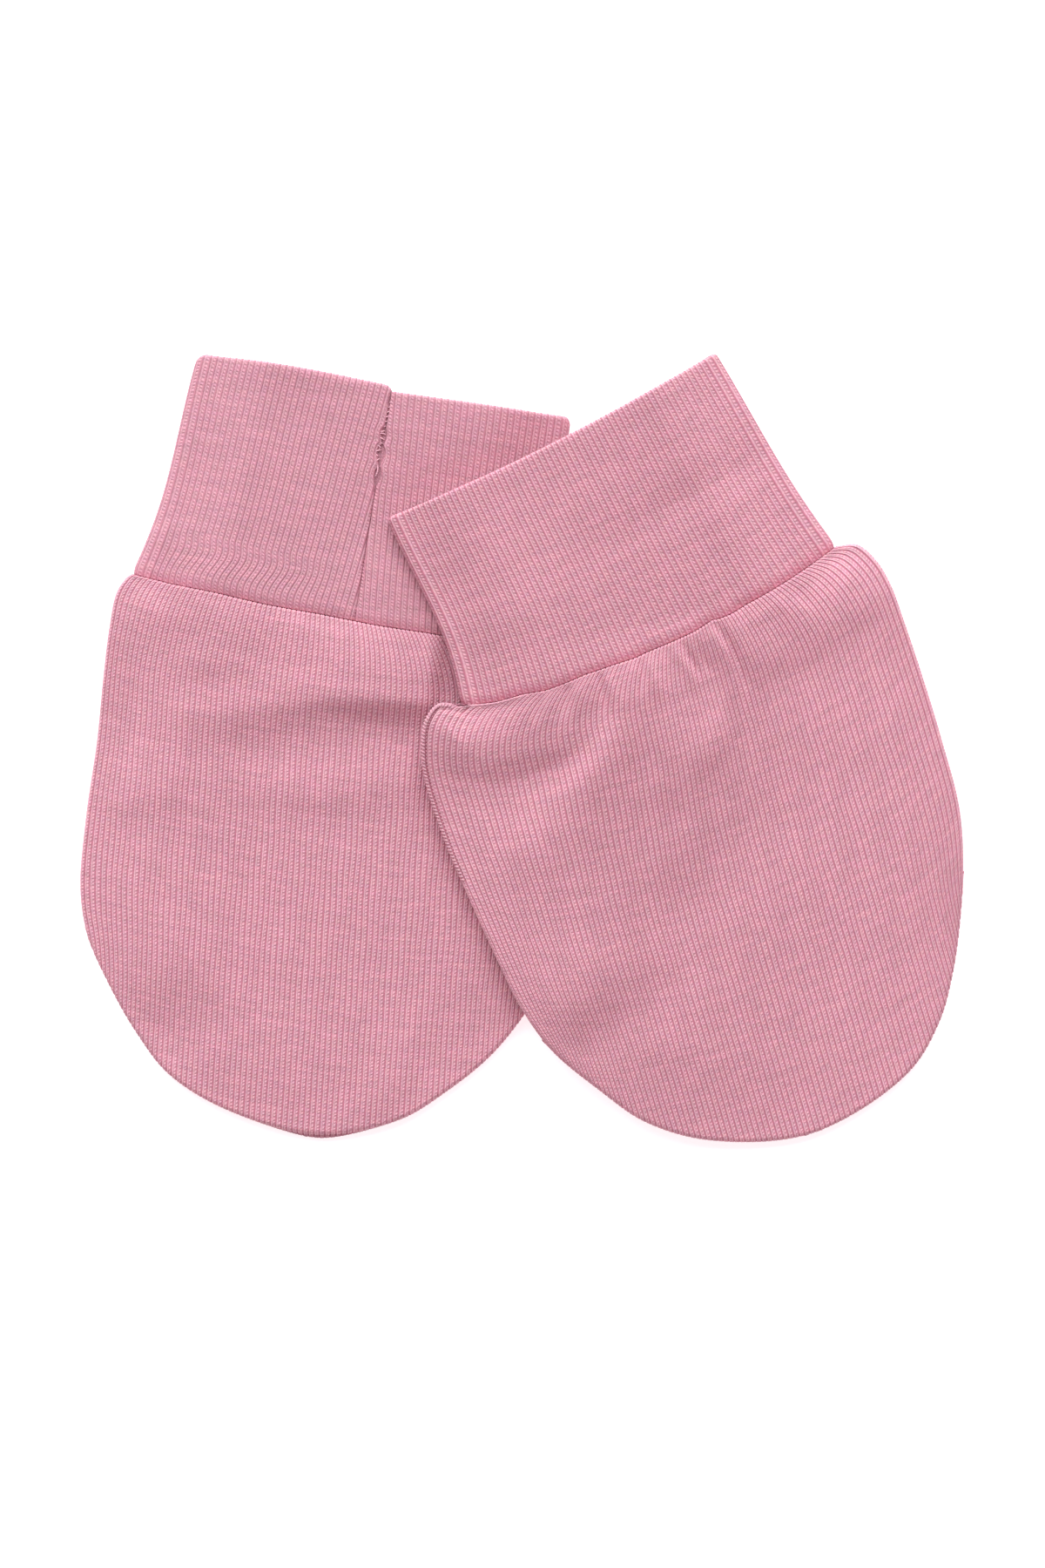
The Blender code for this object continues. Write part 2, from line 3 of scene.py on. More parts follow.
import bpy
import numpy as np
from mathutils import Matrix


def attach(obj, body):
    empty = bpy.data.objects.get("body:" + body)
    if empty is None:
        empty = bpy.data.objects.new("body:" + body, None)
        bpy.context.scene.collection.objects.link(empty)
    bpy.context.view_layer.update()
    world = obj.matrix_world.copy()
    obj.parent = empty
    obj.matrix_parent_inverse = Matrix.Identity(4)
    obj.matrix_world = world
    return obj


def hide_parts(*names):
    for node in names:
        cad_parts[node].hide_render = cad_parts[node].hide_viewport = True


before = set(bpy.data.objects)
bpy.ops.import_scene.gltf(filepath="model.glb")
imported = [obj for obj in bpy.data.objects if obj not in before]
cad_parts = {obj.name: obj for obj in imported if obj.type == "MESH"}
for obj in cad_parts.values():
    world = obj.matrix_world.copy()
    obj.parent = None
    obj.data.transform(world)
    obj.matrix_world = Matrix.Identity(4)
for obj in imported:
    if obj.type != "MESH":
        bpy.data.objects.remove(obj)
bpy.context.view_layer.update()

# A pair of newborn baby mittens in fine pink rib knit, lying flat, the right one partly on the
# left one. A mitten is worked out in its own frame, in millimetres: across runs over its width,
# along runs from the cuff seam (0) to the tip. Meshes are made in metres, in the pair's frame.
mm = 0.001
cloth = 0.95              # one layer of knit
seamGap = 0.05            # room between pieces sewn to each other
cuffThickness = 5.0
waistShift = 1.5          # puts a cuff's narrowest place nearer to its seam
seamFlatness = 2.5        # the bowed cuff seam is flatter in the middle than a parabola
unshadedKnit, shadeFactorOffset = 1.5, 0.5     # the knit's third value where no painted seam shade darkens it, and what is taken off it

# across a wale: where its smooth line and its beads stand, and their half widths
ribs = dict(lineAt=0.30, lineHalf=0.24, beadAt=0.68, beadHalf=0.30, beadHeight=0.9)

# heights of a body above the surface that its mitten lies on, and the widths of its roundings
body = dict(
    crown=3.9, tipCrown=2.9, fallFrom=20.0, fallTo=75.0,
    edgeTop=2.4, shoulderTop=3.3, shoulderFrom=4.0, shoulderTo=20.0, edgeWidth=14.0,
    seamTop=5.2, seamWidth=10.0, cornerWidth=12.0,
    sideSeam=1.1, frontCuffRim=4.6, cornerRim=2.2, backCuffRim=0.8, backLower=0.1,
    rimBlend=3.0,
    sideRoll=0.7, cuffRoll=0.25,
)


def smoothStep(x):
    x = np.clip(x, 0.0, 1.0)
    return x * x * (3.0 - 2.0 * x)


def roundOver(x):
    return np.sqrt(1.0 - (1.0 - np.clip(x, 0.0, 1.0)) ** 2)


def mix(first, second, share):
    return first + (second - first) * share


def bell(x):
    return np.exp(-(x ** 2))


def smoothCurve(points, steps=12):
    points = np.array(points, float)
    spans = np.sqrt(np.linalg.norm(np.diff(points, axis=0), axis=1))
    knots = np.concatenate([[0.0], np.cumsum(spans)])
    slopes = np.gradient(points, knots, axis=0)
    t = np.linspace(0.0, 1.0, steps, endpoint=False)[:, None]
    pieces = []
    for i, span in enumerate(spans):
        pieces.append((2 * t**3 - 3 * t**2 + 1) * points[i]
                      + (t**3 - 2 * t**2 + t) * span * slopes[i]
                      + (3 * t**2 - 2 * t**3) * points[i + 1]
                      + (t**3 - t**2) * span * slopes[i + 1])
    return np.concatenate(pieces + [points[-1:]])


def lengthsAlong(line):
    return np.concatenate([[0.0], np.cumsum(np.linalg.norm(np.diff(line, axis=0), axis=1))])


def pointOn(line, share):
    lengths = lengthsAlong(line)
    goal = share * lengths[-1]
    return np.stack([np.interp(goal, lengths, line[:, k]) for k in (0, 1)], axis=-1)


batch = 8000     # points measured at a time, to save memory


# distance from points (n, 2) to a line, the share of the line that is nearest, and their side
# of it: 1 on the tip side of a line that runs left to right, -1 on the other, 0 off its ends
def nearestOn(line, points):
    distances, shares, sides = (np.empty(len(points)) for _ in range(3))
    start, step = line[:-1], np.diff(line, axis=0)
    for first in range(0, len(points), batch):
        part = slice(first, first + batch)
        some = points[part]
        offset = some[:, None, :] - start[None]
        t = np.clip((offset * step).sum(-1) / (step**2).sum(-1), 0.0, 1.0)
        away = offset - t[..., None] * step
        distance = np.linalg.norm(away, axis=-1)
        nearest = distance.argmin(axis=1)
        rows = np.arange(len(some))
        side = step[nearest, 0] * away[rows, nearest, 1] - step[nearest, 1] * away[rows, nearest, 0]
        least = distance[rows, nearest]
        distances[part] = least
        shares[part] = (nearest + t[rows, nearest]) / len(step)
        lengths = np.linalg.norm(step, axis=-1)[nearest]
        sides[part] = side / np.maximum(least * lengths, 1e-9)
    return distances, shares, sides


# Folds, in the order start, bend, end, height, width toward the cuff, width toward the tip. The
# first 11 of the left mitten and 20 of the right came from a search program, and the rest were
# set one by one.
# Drifts push the wales sideways: middle wale (-1 to 1), spread, from, to, shift.
leftMitten = dict(
    name="leftMitten", node="left_mitten", liesOver=None,
    place=(-27.5, 21.0), turn=-3.5,
    seamLeft=(-33.2, -4.1), seamRight=(31.0, 3.8), seamBow=0.9,
    seamWaves=((0.0, 0.0), (0.10, 0.10), (0.21, -0.08), (0.33, 0.12), (0.46, 0.0), (0.60, 0.12),
               (0.72, -0.05), (0.85, 0.08), (1.0, 0.0)),
    mouthLeft=(-25.4, -38.7), mouthRight=(33.1, -32.4), mouthBow=0.0, mouthCorners=(1.8, 0.8),
    waistLeft=1.1, waistRight=0.9,
    leftShoulder=((-34.0, -3.6), (-35.5, -1.2), (-36.3, 4.2)),
    rightShoulder=((33.0, 3.7), (35.6, 6.2)),
    sides=((12.0, 36.8, 37.0), (22.0, 37.2, 37.6), (34.0, 38.2, 38.2), (45.0, 38.4, 38.2),
           (52.0, 36.9, 36.4), (60.0, 32.8, 32.0), (67.0, 28.2, 27.0), (73.0, 22.9, 20.5),
           (78.0, 13.6, 13.2)),
    tip=(0.5, 81.0),
    cutLeft=51.0, cutRight=51.0, shoulderTo=13.0,
    wales=90, middle=0.0,
    drifts=((0.0, 0.6, 0.0, 22.0, 1.2),),
    slant=0.6,
    folds=(
        ((-24.5, 16.5), (-1.6, 13.2), (18.6, 12.1), 1.95, 10.5, 5.0),
        ((-25.3, 10.4), (-19.1, 8.8), (-12.3, 9.1), 0.42, 3.4, 2.2),
        ((-12.8, 28.2), (-0.8, 27.5), (18.6, 23.4), 0.55, 5.9, 3.3),
        ((-30.3, 64.6), (-26.6, 57.8), (-16.9, 52.2), 0.45, 7.0, 6.0),
        ((-19.9, 72.5), (-18.0, 70.7), (-4.5, 72.9), 0.26, 4.2, 5.2),
        ((-5.3, 15.1), (0.2, 15.8), (18.6, 18.3), -0.45, 2.3, 3.1),
        ((-35.5, 31.7), (-28.7, 28.9), (-22.4, 28.5), 0.52, 7.0, 3.9),
        ((-14.7, -3.3), (-4.8, 0.8), (20.9, 0.6), -0.24, 7.0, 1.7),
        ((-34.8, 72.9), (-22.2, 68.1), (-17.0, 70.7), -0.43, 7.0, 7.0),
        ((4.0, 83.4), (16.1, 66.4), (21.8, 59.0), 0.33, 3.9, 5.1),
        ((-31.0, 8.0), (-17.2, 3.6), (-15.4, -0.9), 0.52, 7.0, 4.2),
        ((-3.0, 13.2), (10.0, 12.7), (22.0, 12.4), 0.95, 8.0, 2.3),
    ),
    gathers=((-15.5, 4.0, 0.15), (-6.0, 5.0, 0.15), (1.5, 4.0, 0.15), (9.5, 5.0, 0.15)),
    cuffFolds=(
        ((-20.0, -38.4), (-13.0, -37.8), (-6.0, -37.4), 0.35, 3.0, 3.4),
        ((24.0, -35.0), (29.0, -34.4), (33.0, -33.5), 0.30, 2.6, 2.6),
        ((4.0, -12.0), (17.5, -19.8), (31.0, -27.0), -0.9, 6.0, 5.0),
        ((-31.0, -9.0), (-27.0, -10.5), (-21.0, -11.0), 0.25, 3.0, 3.0),
    ),
    # the cuff's tone, and how much of the painted shade in its grooves shows
    cuffSway=0.45, cuffTone=(0.858, 0.796, 0.816), cuffGrooveShade=0.6, tipPeek=(1.5, 5.5, 0.5),
    pressedFrom=13.5, seamMark=False, joinOnTop=True,
)

rightMitten = dict(
    name="rightMitten", node="right_mitten", liesOver=leftMitten,
    place=(20.1, 19.5), turn=18.5,
    seamLeft=(-31.9, 2.9), seamRight=(30.9, -2.2), seamBow=3.4,
    seamWaves=((0.0, 0.0), (0.04, 0.2), (0.083, 0.4), (0.15, 0.15), (0.206, 0.5), (0.242, 0.4),
               (0.31, 0.05), (0.38, 0.16), (0.44, 0.42), (0.47, 0.30), (0.55, 0.33), (0.60, 0.26),
               (0.648, -0.18), (0.665, 0.1), (0.698, 0.28), (0.74, 0.06), (0.87, 0.08), (1.0, 0.0)),
    mouthLeft=(-33.6, -28.1), mouthRight=(22.6, -36.4), mouthBow=1.4, mouthCorners=(0.4, 0.4),
    waistLeft=1.3, waistRight=0.6,
    leftShoulder=((-35.3, 1.4), (-38.3, 3.4), (-40.2, 7.6)),
    rightShoulder=((34.1, -1.6), (36.2, 1.6), (37.2, 6.0)),
    sides=((12.0, 41.1, 37.4), (22.0, 41.2, 37.4), (32.0, 40.4, 37.1), (42.0, 39.3, 36.4),
           (50.0, 38.2, 34.4), (58.0, 35.6, 31.3), (66.0, 30.7, 27.4), (73.0, 25.5, 22.7),
           (79.0, 16.8, 15.4)),
    tip=(-1.5, 83.0),
    cutLeft=56.0, cutRight=52.0, shoulderTo=13.0,
    wales=94, middle=-1.9,
    drifts=((-0.25, 0.5, 0.0, 46.0, 4.2), (-0.72, 0.22, 2.0, 26.0, 2.0)),
    slant=2.2,
    folds=(
        ((-32.7, 11.1), (-27.9, 12.4), (-16.1, 13.6), 0.78, 7.0, 2.2),
        ((-8.0, 2.6), (-7.0, 14.0), (-27.2, 24.5), 1.12, 6.2, 7.0),
        ((-0.0, 15.2), (-7.5, 24.4), (-30.6, 28.1), 0.66, 4.3, 4.9),
        ((5.2, 7.7), (3.6, 17.3), (0.8, 24.1), 0.52, 7.0, 2.7),
        ((6.7, 17.9), (2.3, 22.0), (-3.8, 25.3), 0.31, 2.8, 2.2),
        ((8.4, 11.2), (21.6, 9.5), (35.5, 6.1), 1.0, 10.0, 3.2),
        ((0.1, 26.4), (-3.5, 30.9), (-16.5, 36.3), 0.22, 7.0, 5.0),
        ((-34.4, 56.3), (-32.0, 54.6), (-22.7, 43.5), 0.64, 7.0, 4.0),
        ((-39.4, 11.8), (-29.2, 16.7), (-15.3, 15.4), -0.26, 1.3, 7.0),
        ((8.9, -3.8), (11.1, 10.0), (1.5, 21.1), 0.60, 2.0, 5.0),
        ((15.3, 13.0), (26.0, 12.1), (35.1, 5.5), 0.20, 2.1, 7.0),
        ((-15.1, 43.8), (-9.9, 44.1), (12.0, 30.3), -0.68, 7.0, 7.0),
        ((-3.5, 5.9), (-14.0, 17.9), (-23.9, 22.7), 0.97, 2.9, 4.7),
        ((-1.0, 17.5), (-4.3, 31.5), (-26.5, 33.4), 0.23, 3.0, 5.8),
        ((-38.5, 50.3), (-31.6, 56.9), (-7.2, 52.6), -0.60, 4.4, 4.9),
        ((16.3, 4.4), (17.1, 6.6), (19.9, 9.7), -0.26, 2.2, 4.6),
        ((21.5, -0.4), (25.5, 5.0), (33.7, 2.4), -0.11, 2.0, 1.5),
        ((-21.2, 5.2), (-21.1, 7.5), (-18.1, 15.7), 0.30, 7.0, 7.0),
        ((-13.6, 4.7), (-13.4, 6.8), (-19.4, 13.9), 0.32, 2.6, 2.5),
        ((-2.0, -2.4), (3.3, 9.2), (6.9, 11.8), -0.46, 3.4, 3.8),
        ((7.7, 3.6), (9.0, 7.3), (8.3, 15.8), 0.70, 0.8, 1.6),
        ((9.4, 3.9), (10.3, 8.2), (10.7, 13.8), -0.70, 0.9, 0.7),
        ((1.5, 4.2), (2.7, 8.3), (2.9, 12.2), 0.42, 0.7, 0.9),
        ((3.6, 5.1), (3.9, 7.9), (4.2, 9.7), -0.52, 0.6, 0.5),
        ((5.6, 5.3), (5.7, 8.5), (5.9, 10.2), -0.45, 0.6, 0.6),
        ((-2.3, 4.5), (-2.6, 7.7), (-3.1, 11.1), 0.42, 0.7, 0.9),
        ((-3.7, 4.6), (-4.5, 7.3), (-5.5, 10.0), -0.38, 0.6, 0.6),
        ((-9.3, 4.8), (-9.4, 7.3), (-9.9, 10.6), 0.36, 0.7, 0.8),
        ((-10.5, 4.6), (-10.7, 7.1), (-11.5, 10.4), -0.42, 0.6, 0.6),
        ((-14.2, 4.6), (-14.8, 7.2), (-15.8, 10.0), 0.32, 0.7, 0.8),
        ((-15.4, 4.8), (-16.3, 6.7), (-17.4, 9.2), -0.42, 0.6, 0.6),
        ((-17.6, 4.9), (-19.0, 6.9), (-20.6, 9.6), 0.28, 0.8, 0.8),
        ((-20.4, 5.2), (-21.2, 7.0), (-22.2, 8.6), -0.28, 0.7, 0.7),
        ((18.8, 1.6), (19.4, 3.3), (20.1, 5.2), 0.30, 0.8, 0.8),
        ((22.4, 1.2), (23.1, 3.5), (23.9, 5.6), -0.25, 0.7, 0.7),
    ),
    gathers=((-23.0, 4.0, 0.2), (-6.0, 4.0, 0.15), (15.0, 5.0, 0.2)),
    cuffFolds=(
        ((28.0, -20.5), (13.0, -16.7), (-7.4, -12.6), -0.32, 3.0, 3.0),
        ((8.0, -34.2), (17.0, -35.2), (25.0, -36.2), 0.25, 3.0, 3.5),
        ((-31.0, -9.0), (-22.0, -7.0), (-10.0, -6.5), 0.30, 6.5, 3.5),
    ),
    cuffSway=0.0, cuffTone=(0.94, 0.93, 0.93), cuffGrooveShade=1.0, tipPeek=None,
    pressedFrom=None, seamMark=True, joinOnTop=False,
)


def straightAcross(mitten, line, share):
    return mix(np.array(mitten[line + "Left"]), np.array(mitten[line + "Right"]), share[..., None])


def seamLine(mitten, share):
    share = np.asarray(share, float)
    ends = straightAcross(mitten, "seam", share)
    bow = mitten["seamBow"] * (1.0 - np.abs(2.0 * share - 1.0) ** seamFlatness)
    places, waves = np.array(mitten["seamWaves"]).T
    return ends + (bow + np.interp(share, places, waves))[..., None] * np.array((0.0, 1.0))


# the body's outline: its stretch along the cuff seam and its stretch along the side seam
def bodyEdge(mitten):
    cuffStretch = seamLine(mitten, np.linspace(0.0, 1.0, 100)) + np.array((0.0, seamGap / 2))
    right = [(row[2], row[0]) for row in mitten["sides"]]
    left = [(-row[1], row[0]) for row in reversed(mitten["sides"])]
    sideStretch = smoothCurve([
        tuple(cuffStretch[-1]), *mitten["rightShoulder"], *right, mitten["tip"],
        *left, *reversed(mitten["leftShoulder"]), tuple(cuffStretch[0])])
    return cuffStretch, sideStretch


def toPair(mitten, spots):
    turn = math.radians(mitten["turn"])
    across, along = spots[..., 0], spots[..., 1]
    x = mitten["place"][0] + across * math.cos(turn) + along * math.sin(turn)
    y = mitten["place"][1] + across * math.sin(turn) - along * math.cos(turn)
    return np.stack([x, y], axis=-1)


def fromPair(mitten, points):
    turn = math.radians(mitten["turn"])
    x, y = points[..., 0] - mitten["place"][0], points[..., 1] - mitten["place"][1]
    return np.stack([x * math.cos(turn) + y * math.sin(turn),
                     x * math.sin(turn) - y * math.cos(turn)], axis=-1)


def lifted(mitten, spots, height):
    return np.concatenate([toPair(mitten, spots), height[..., None]], axis=-1)


def crownHeight(along):
    fall = smoothStep((along - body["fallFrom"]) / (body["fallTo"] - body["fallFrom"]))
    return mix(body["crown"], body["tipCrown"], fall)


# the upper mitten's underside: over the lower one, then down to the table beside it
drape = dict(overCuff=5.3, aboveBody=0.4, changeFrom=14.0, changeTo=30.0, start=0.5, run=45.0,
             overFold=0.75, foldPlace=(12.0, 13.0), foldWidth=8.0)


def lyingHeight(mitten, spots):
    under = mitten["liesOver"]
    if under is None:
        return np.zeros(spots.shape[:-1])
    spot = fromPair(under, toPair(mitten, spots))
    edge = [under["mouthLeft"], under["mouthRight"], under["seamRight"]]
    edge += [(row[2], row[0]) for row in under["sides"]] + [under["tip"]]
    distance, _, side = nearestOn(np.array(edge), spot.reshape(-1, 2))
    outward = np.where(side < 0, distance, 0.0).reshape(spot.shape[:-1])
    down = smoothStep((outward - drape["start"]) / drape["run"])
    onBody = smoothStep((spot[..., 1] - drape["changeFrom"])
                        / (drape["changeTo"] - drape["changeFrom"]))
    overBody = crownHeight(spot[..., 1]) + drape["aboveBody"]
    fromFold = np.linalg.norm(spot - np.array(drape["foldPlace"]), axis=-1)
    overFold = drape["overFold"] * bell(fromFold / drape["foldWidth"])
    return (mix(drape["overCuff"], overBody, onBody) + overFold) * (1.0 - down)


strokeSteps, foldEnds = 8, 0.35     # a fold is this share of its height at its stroke's ends


def foldHeight(fold, points):
    start, bend, end, height, near, far = fold
    stroke = smoothCurve([start, bend, end], steps=strokeSteps)
    distance, share, side = nearestOn(stroke, points)
    towardTip = 0.5 + 0.5 * side * np.sign(stroke[-1, 0] - stroke[0, 0])
    strength = height * mix(foldEnds, 1.0, np.sin(np.pi * share))
    return strength * bell(distance / mix(near, far, towardTip))


puff = dict(height=0.35, place=6.0, width=4.5)
gatherShape = dict(width=1.1, lean=0.12)
# the side seam where it rolls onto the front
seamMark = dict(place=0.95, width=0.2, depth=0.35, fadeFrom=14.0, fadeOver=16.0)
reliefFade = 4.8          # folds fade out over this distance from the side seam
pressFade = 3.0           # and over this one where the other mitten presses them flat


def panelRelief(mitten, points, fromCuff, fromSide):
    relief = puff["height"] * bell((fromCuff - puff["place"]) / puff["width"])
    for fold in mitten["folds"]:
        relief += foldHeight(fold, points)
    middle = (mitten["seamLeft"][0] + mitten["seamRight"][0]) / 2
    half = (mitten["seamRight"][0] - mitten["seamLeft"][0]) / 2
    for across, length, height in mitten["gathers"]:
        lean = gatherShape["lean"] * (across - middle) / half
        offLine = points[:, 0] - across - lean * fromCuff
        fade = 1.0 - smoothStep(fromCuff / length)
        relief += height * fade * bell(offLine / gatherShape["width"])
    relief *= smoothStep(fromSide / reliefFade)
    if mitten["pressedFrom"] is not None:
        relief *= 1.0 - smoothStep((points[:, 0] - mitten["pressedFrom"]) / pressFade)
    return relief


# height of a panel's outer face above the surface that its mitten lies on
def panelHeight(mitten, side, spots):
    points = spots.reshape(-1, 2)
    cuffStretch, sideStretch = bodyEdge(mitten)
    fromCuff = nearestOn(cuffStretch, points)[0]
    fromSide = nearestOn(sideStretch, points)[0]
    sideShare = smoothStep(fromCuff / body["rimBlend"])
    if side == "back":
        rim = mix(body["backCuffRim"], body["sideSeam"] - body["backLower"], sideShare)
        height = rim * (1.0 - roundOver(np.minimum(fromCuff, fromSide) / body["sideRoll"]))
        return (height + lyingHeight(mitten, points)).reshape(spots.shape[:-1])
    down = smoothStep((points[:, 1] - body["shoulderFrom"])
                      / (body["shoulderTo"] - body["shoulderFrom"]))
    atEdge = mix(body["shoulderTop"], body["edgeTop"], down)
    top = mix(atEdge, crownHeight(points[:, 1]), smoothStep(fromSide / body["edgeWidth"]))
    beside = smoothStep(fromSide / body["cornerWidth"])
    top = mix(top, body["seamTop"], beside * (1.0 - smoothStep(fromCuff / body["seamWidth"])))
    top = top + panelRelief(mitten, points, fromCuff, fromSide)
    rim = mix(mix(body["cornerRim"], body["frontCuffRim"], beside), body["sideSeam"], sideShare)
    bend = np.minimum(roundOver(fromSide / body["sideRoll"]),
                      roundOver(fromCuff / body["cuffRoll"]))
    if mitten["seamMark"]:
        along = (points[:, 1] - seamMark["fadeFrom"]) / seamMark["fadeOver"]
        shown = (points[:, 0] < 0.0) * (1.0 - smoothStep(along))
        top -= seamMark["depth"] * shown * bell((fromSide - seamMark["place"]) / seamMark["width"])
    return (rim + (top - rim) * bend + lyingHeight(mitten, points)).reshape(spots.shape[:-1])


slantFrom = 20.0          # the wales lean evenly from here to the tip
straightens = 9.0         # past its cut an outline turns straight within about this length


# sideways push of the wales, from the fullness of the cloth and the way it was laid
def waleDrift(mitten, wale, along):
    shift = np.zeros_like(along)
    for middle, spread, start, end, amount in mitten["drifts"]:
        shift += amount * bell((wale - middle) / spread) * (
            1.0 - smoothStep((along - start) / (end - start)))
    shift -= math.tan(math.radians(mitten["slant"])) * np.clip(along - slantFrom, 0.0, None)
    return shift * (1.0 - wale**2)


# across where a side of the outline stands, eased straight past the place where it is cut
def sideAcross(side, cut, along):
    edge = np.interp(along, side[:, 1], side[:, 0])
    atCut = np.interp(cut, side[:, 1], side[:, 0])
    slope = atCut - np.interp(cut - 1.0, side[:, 1], side[:, 0])
    past = np.clip(along - cut, 0.0, None)
    eased = atCut + slope * straightens * (1.0 - np.exp(-past / straightens))
    return np.where(along > cut, eased, edge)


column = dict(
    edgeFollow=5,      # the higher, the fewer wales follow the side edges
    cornerPoints=25, cornerEase=1.8,
    reach=84.0, step=0.05, keepEach=6,
    outside=90.0, farthestStep=30.0,
)


# one path for each column of vertices: from the cuff seam, round the shoulder, then straight
# down until the curved edge cuts it; only the outermost wales follow the side edges
def columnPath(mitten, wale, leftSide, rightSide):
    turnAt = mitten["shoulderTo"]
    q = np.linspace(0.0, 1.0, column["cornerPoints"])
    end, cut = (leftSide, mitten["cutLeft"]) if wale < 0 else (rightSide, mitten["cutRight"])
    widest = abs(end[:, 0]).max() * (-1.0 if wale < 0 else 1.0)

    def straight(along):
        across = mitten["middle"] + wale * (abs(widest) - mitten["middle"] * np.sign(widest))
        return across + abs(wale) ** column["edgeFollow"] * (sideAcross(end, cut, along) - widest)

    share = (1.0 + wale) / 2
    top = seamLine(mitten, share)
    topShift = waleDrift(mitten, wale, np.array([top[1]]))[0]
    share = share + topShift / (mitten["seamRight"][0] - mitten["seamLeft"][0])
    top = seamLine(mitten, share) + np.array((0.0, seamGap / 2))
    ease = 1.0 - (1.0 - q) ** column["cornerEase"]
    along = mix(top[1], turnAt, q)
    drifted = waleDrift(mitten, wale, along)
    goal = straight(np.array([turnAt]))[0]
    path = np.stack([mix(top[0] - drifted[0], goal, ease) + drifted, along], axis=-1)

    # the outermost wales follow the shoulder's outline
    corner = end[:np.argmax(end[:, 1] > turnAt)]
    rim = pointOn(np.concatenate([corner, [[np.interp(turnAt, end[:, 1], end[:, 0]), turnAt]]]), q)
    sharp = np.stack([mix(corner[0, 0], rim[-1, 0], ease), mix(corner[0, 1], turnAt, q)], axis=-1)
    path += abs(wale) ** column["edgeFollow"] * (rim - sharp)

    below = np.arange(turnAt, column["reach"], column["step"])[1:]
    across = straight(below) + waleDrift(mitten, wale, below)
    outside = column["outside"]
    room = np.minimum(np.interp(below, rightSide[:, 1], rightSide[:, 0], right=-outside) - across,
                      across - np.interp(below, leftSide[:, 1], leftSide[:, 0], right=outside))
    last = int(np.argmax((room < 0.0) & (below > cut)))
    if room[last - 1] > 0.0 and room[last] > -column["farthestStep"]:
        share = room[last - 1] / (room[last - 1] - room[last])
        below[last] = mix(below[last - 1], below[last], share)
        across[last] = mix(across[last - 1], across[last], share)
    rest = np.stack([across[:last + 1], below[:last + 1]], axis=-1)
    return np.concatenate([path, rest[::column["keepEach"]], rest[-1:]])


# a column's vertices stand closer together at its two ends; lengths out of a whole of 80
rowPlaces = dict(whole=80.0, near=(0.0, 0.1, 0.25, 0.45, 0.7, 1.0, 1.4, 1.9, 2.5), evenFrom=3.1)


def rowShares(count):
    whole, near, evenFrom = rowPlaces["whole"], np.array(rowPlaces["near"]), rowPlaces["evenFrom"]
    middle = np.linspace(evenFrom, whole - evenFrom, count - 2 * len(near))
    return np.concatenate([near, middle, whole - near[::-1]]) / whole


# across a wale: a smooth line, a beaded one, and a narrow groove between two wales
def waleColumns(wales, perWale):
    marks = {6: (0.0, 0.14, 0.30, 0.48, 0.68, 0.87), 4: (0.0, 0.22, 0.48, 0.78)}[perWale]
    columns = (np.arange(wales)[:, None] + np.array(marks)).ravel()
    return np.append(columns, wales)


def waleRelief(wale):
    place = wale % 1.0
    line = np.clip(1.0 - ((place - ribs["lineAt"]) / ribs["lineHalf"]) ** 2, 0.0, 1.0)
    beads = np.clip(1.0 - ((place - ribs["beadAt"]) / ribs["beadHalf"]) ** 2, 0.0, 1.0)
    return np.maximum(line, ribs["beadHeight"] * beads) - 1.0


def surfaceNormals(points, closed=False):
    if closed:
        alongRow = np.roll(points, -1, axis=1) - np.roll(points, 1, axis=1)
        downColumn = np.roll(points, -1, axis=0) - np.roll(points, 1, axis=0)
    else:
        alongRow = np.gradient(points, axis=1)
        downColumn = np.gradient(points, axis=0)
    normals = np.cross(downColumn, alongRow)
    size = np.linalg.norm(normals, axis=-1, keepdims=True)
    return normals / np.maximum(size, 1e-12)


# the corners of every cell of a grid, in order round the cell
def cells(grid, axis):
    return np.stack([grid[:-1, :-1], grid[1:, :-1], grid[1:, 1:], grid[:-1, 1:]], axis=axis)


def quads(ids):
    return cells(ids, -1).reshape(-1, 4)


def makeMesh(name, points, faces, knit, material):
    mesh = bpy.data.meshes.new(name)
    mesh.from_pydata((points * mm).tolist(), [], faces)
    stitches = mesh.attributes.new("knit", "FLOAT_VECTOR", "CORNER")
    stitches.data.foreach_set("vector", np.ascontiguousarray(knit, np.float32).ravel())
    mesh.shade_smooth()
    mesh.materials.append(material)
    piece = bpy.data.objects.new(name, mesh)
    bpy.context.scene.collection.objects.link(piece)
    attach(piece, "root")
    return piece


panel = dict(
    front=dict(perWale=6, rows=150, depth=0.13),
    back=dict(perWale=4, rows=84, depth=0.12),
    courseSpacing=0.55, innerEvery=10, tipFrom=0.8,
    waleWander=0.08, wanderEase=6.0,
    wanderWaves=((1.0, 0.11, 0.9), (0.6, 0.31, -0.37)),     # height, turn by course, by wale
    uneven=0.05, unevenTurn=2.4,
)


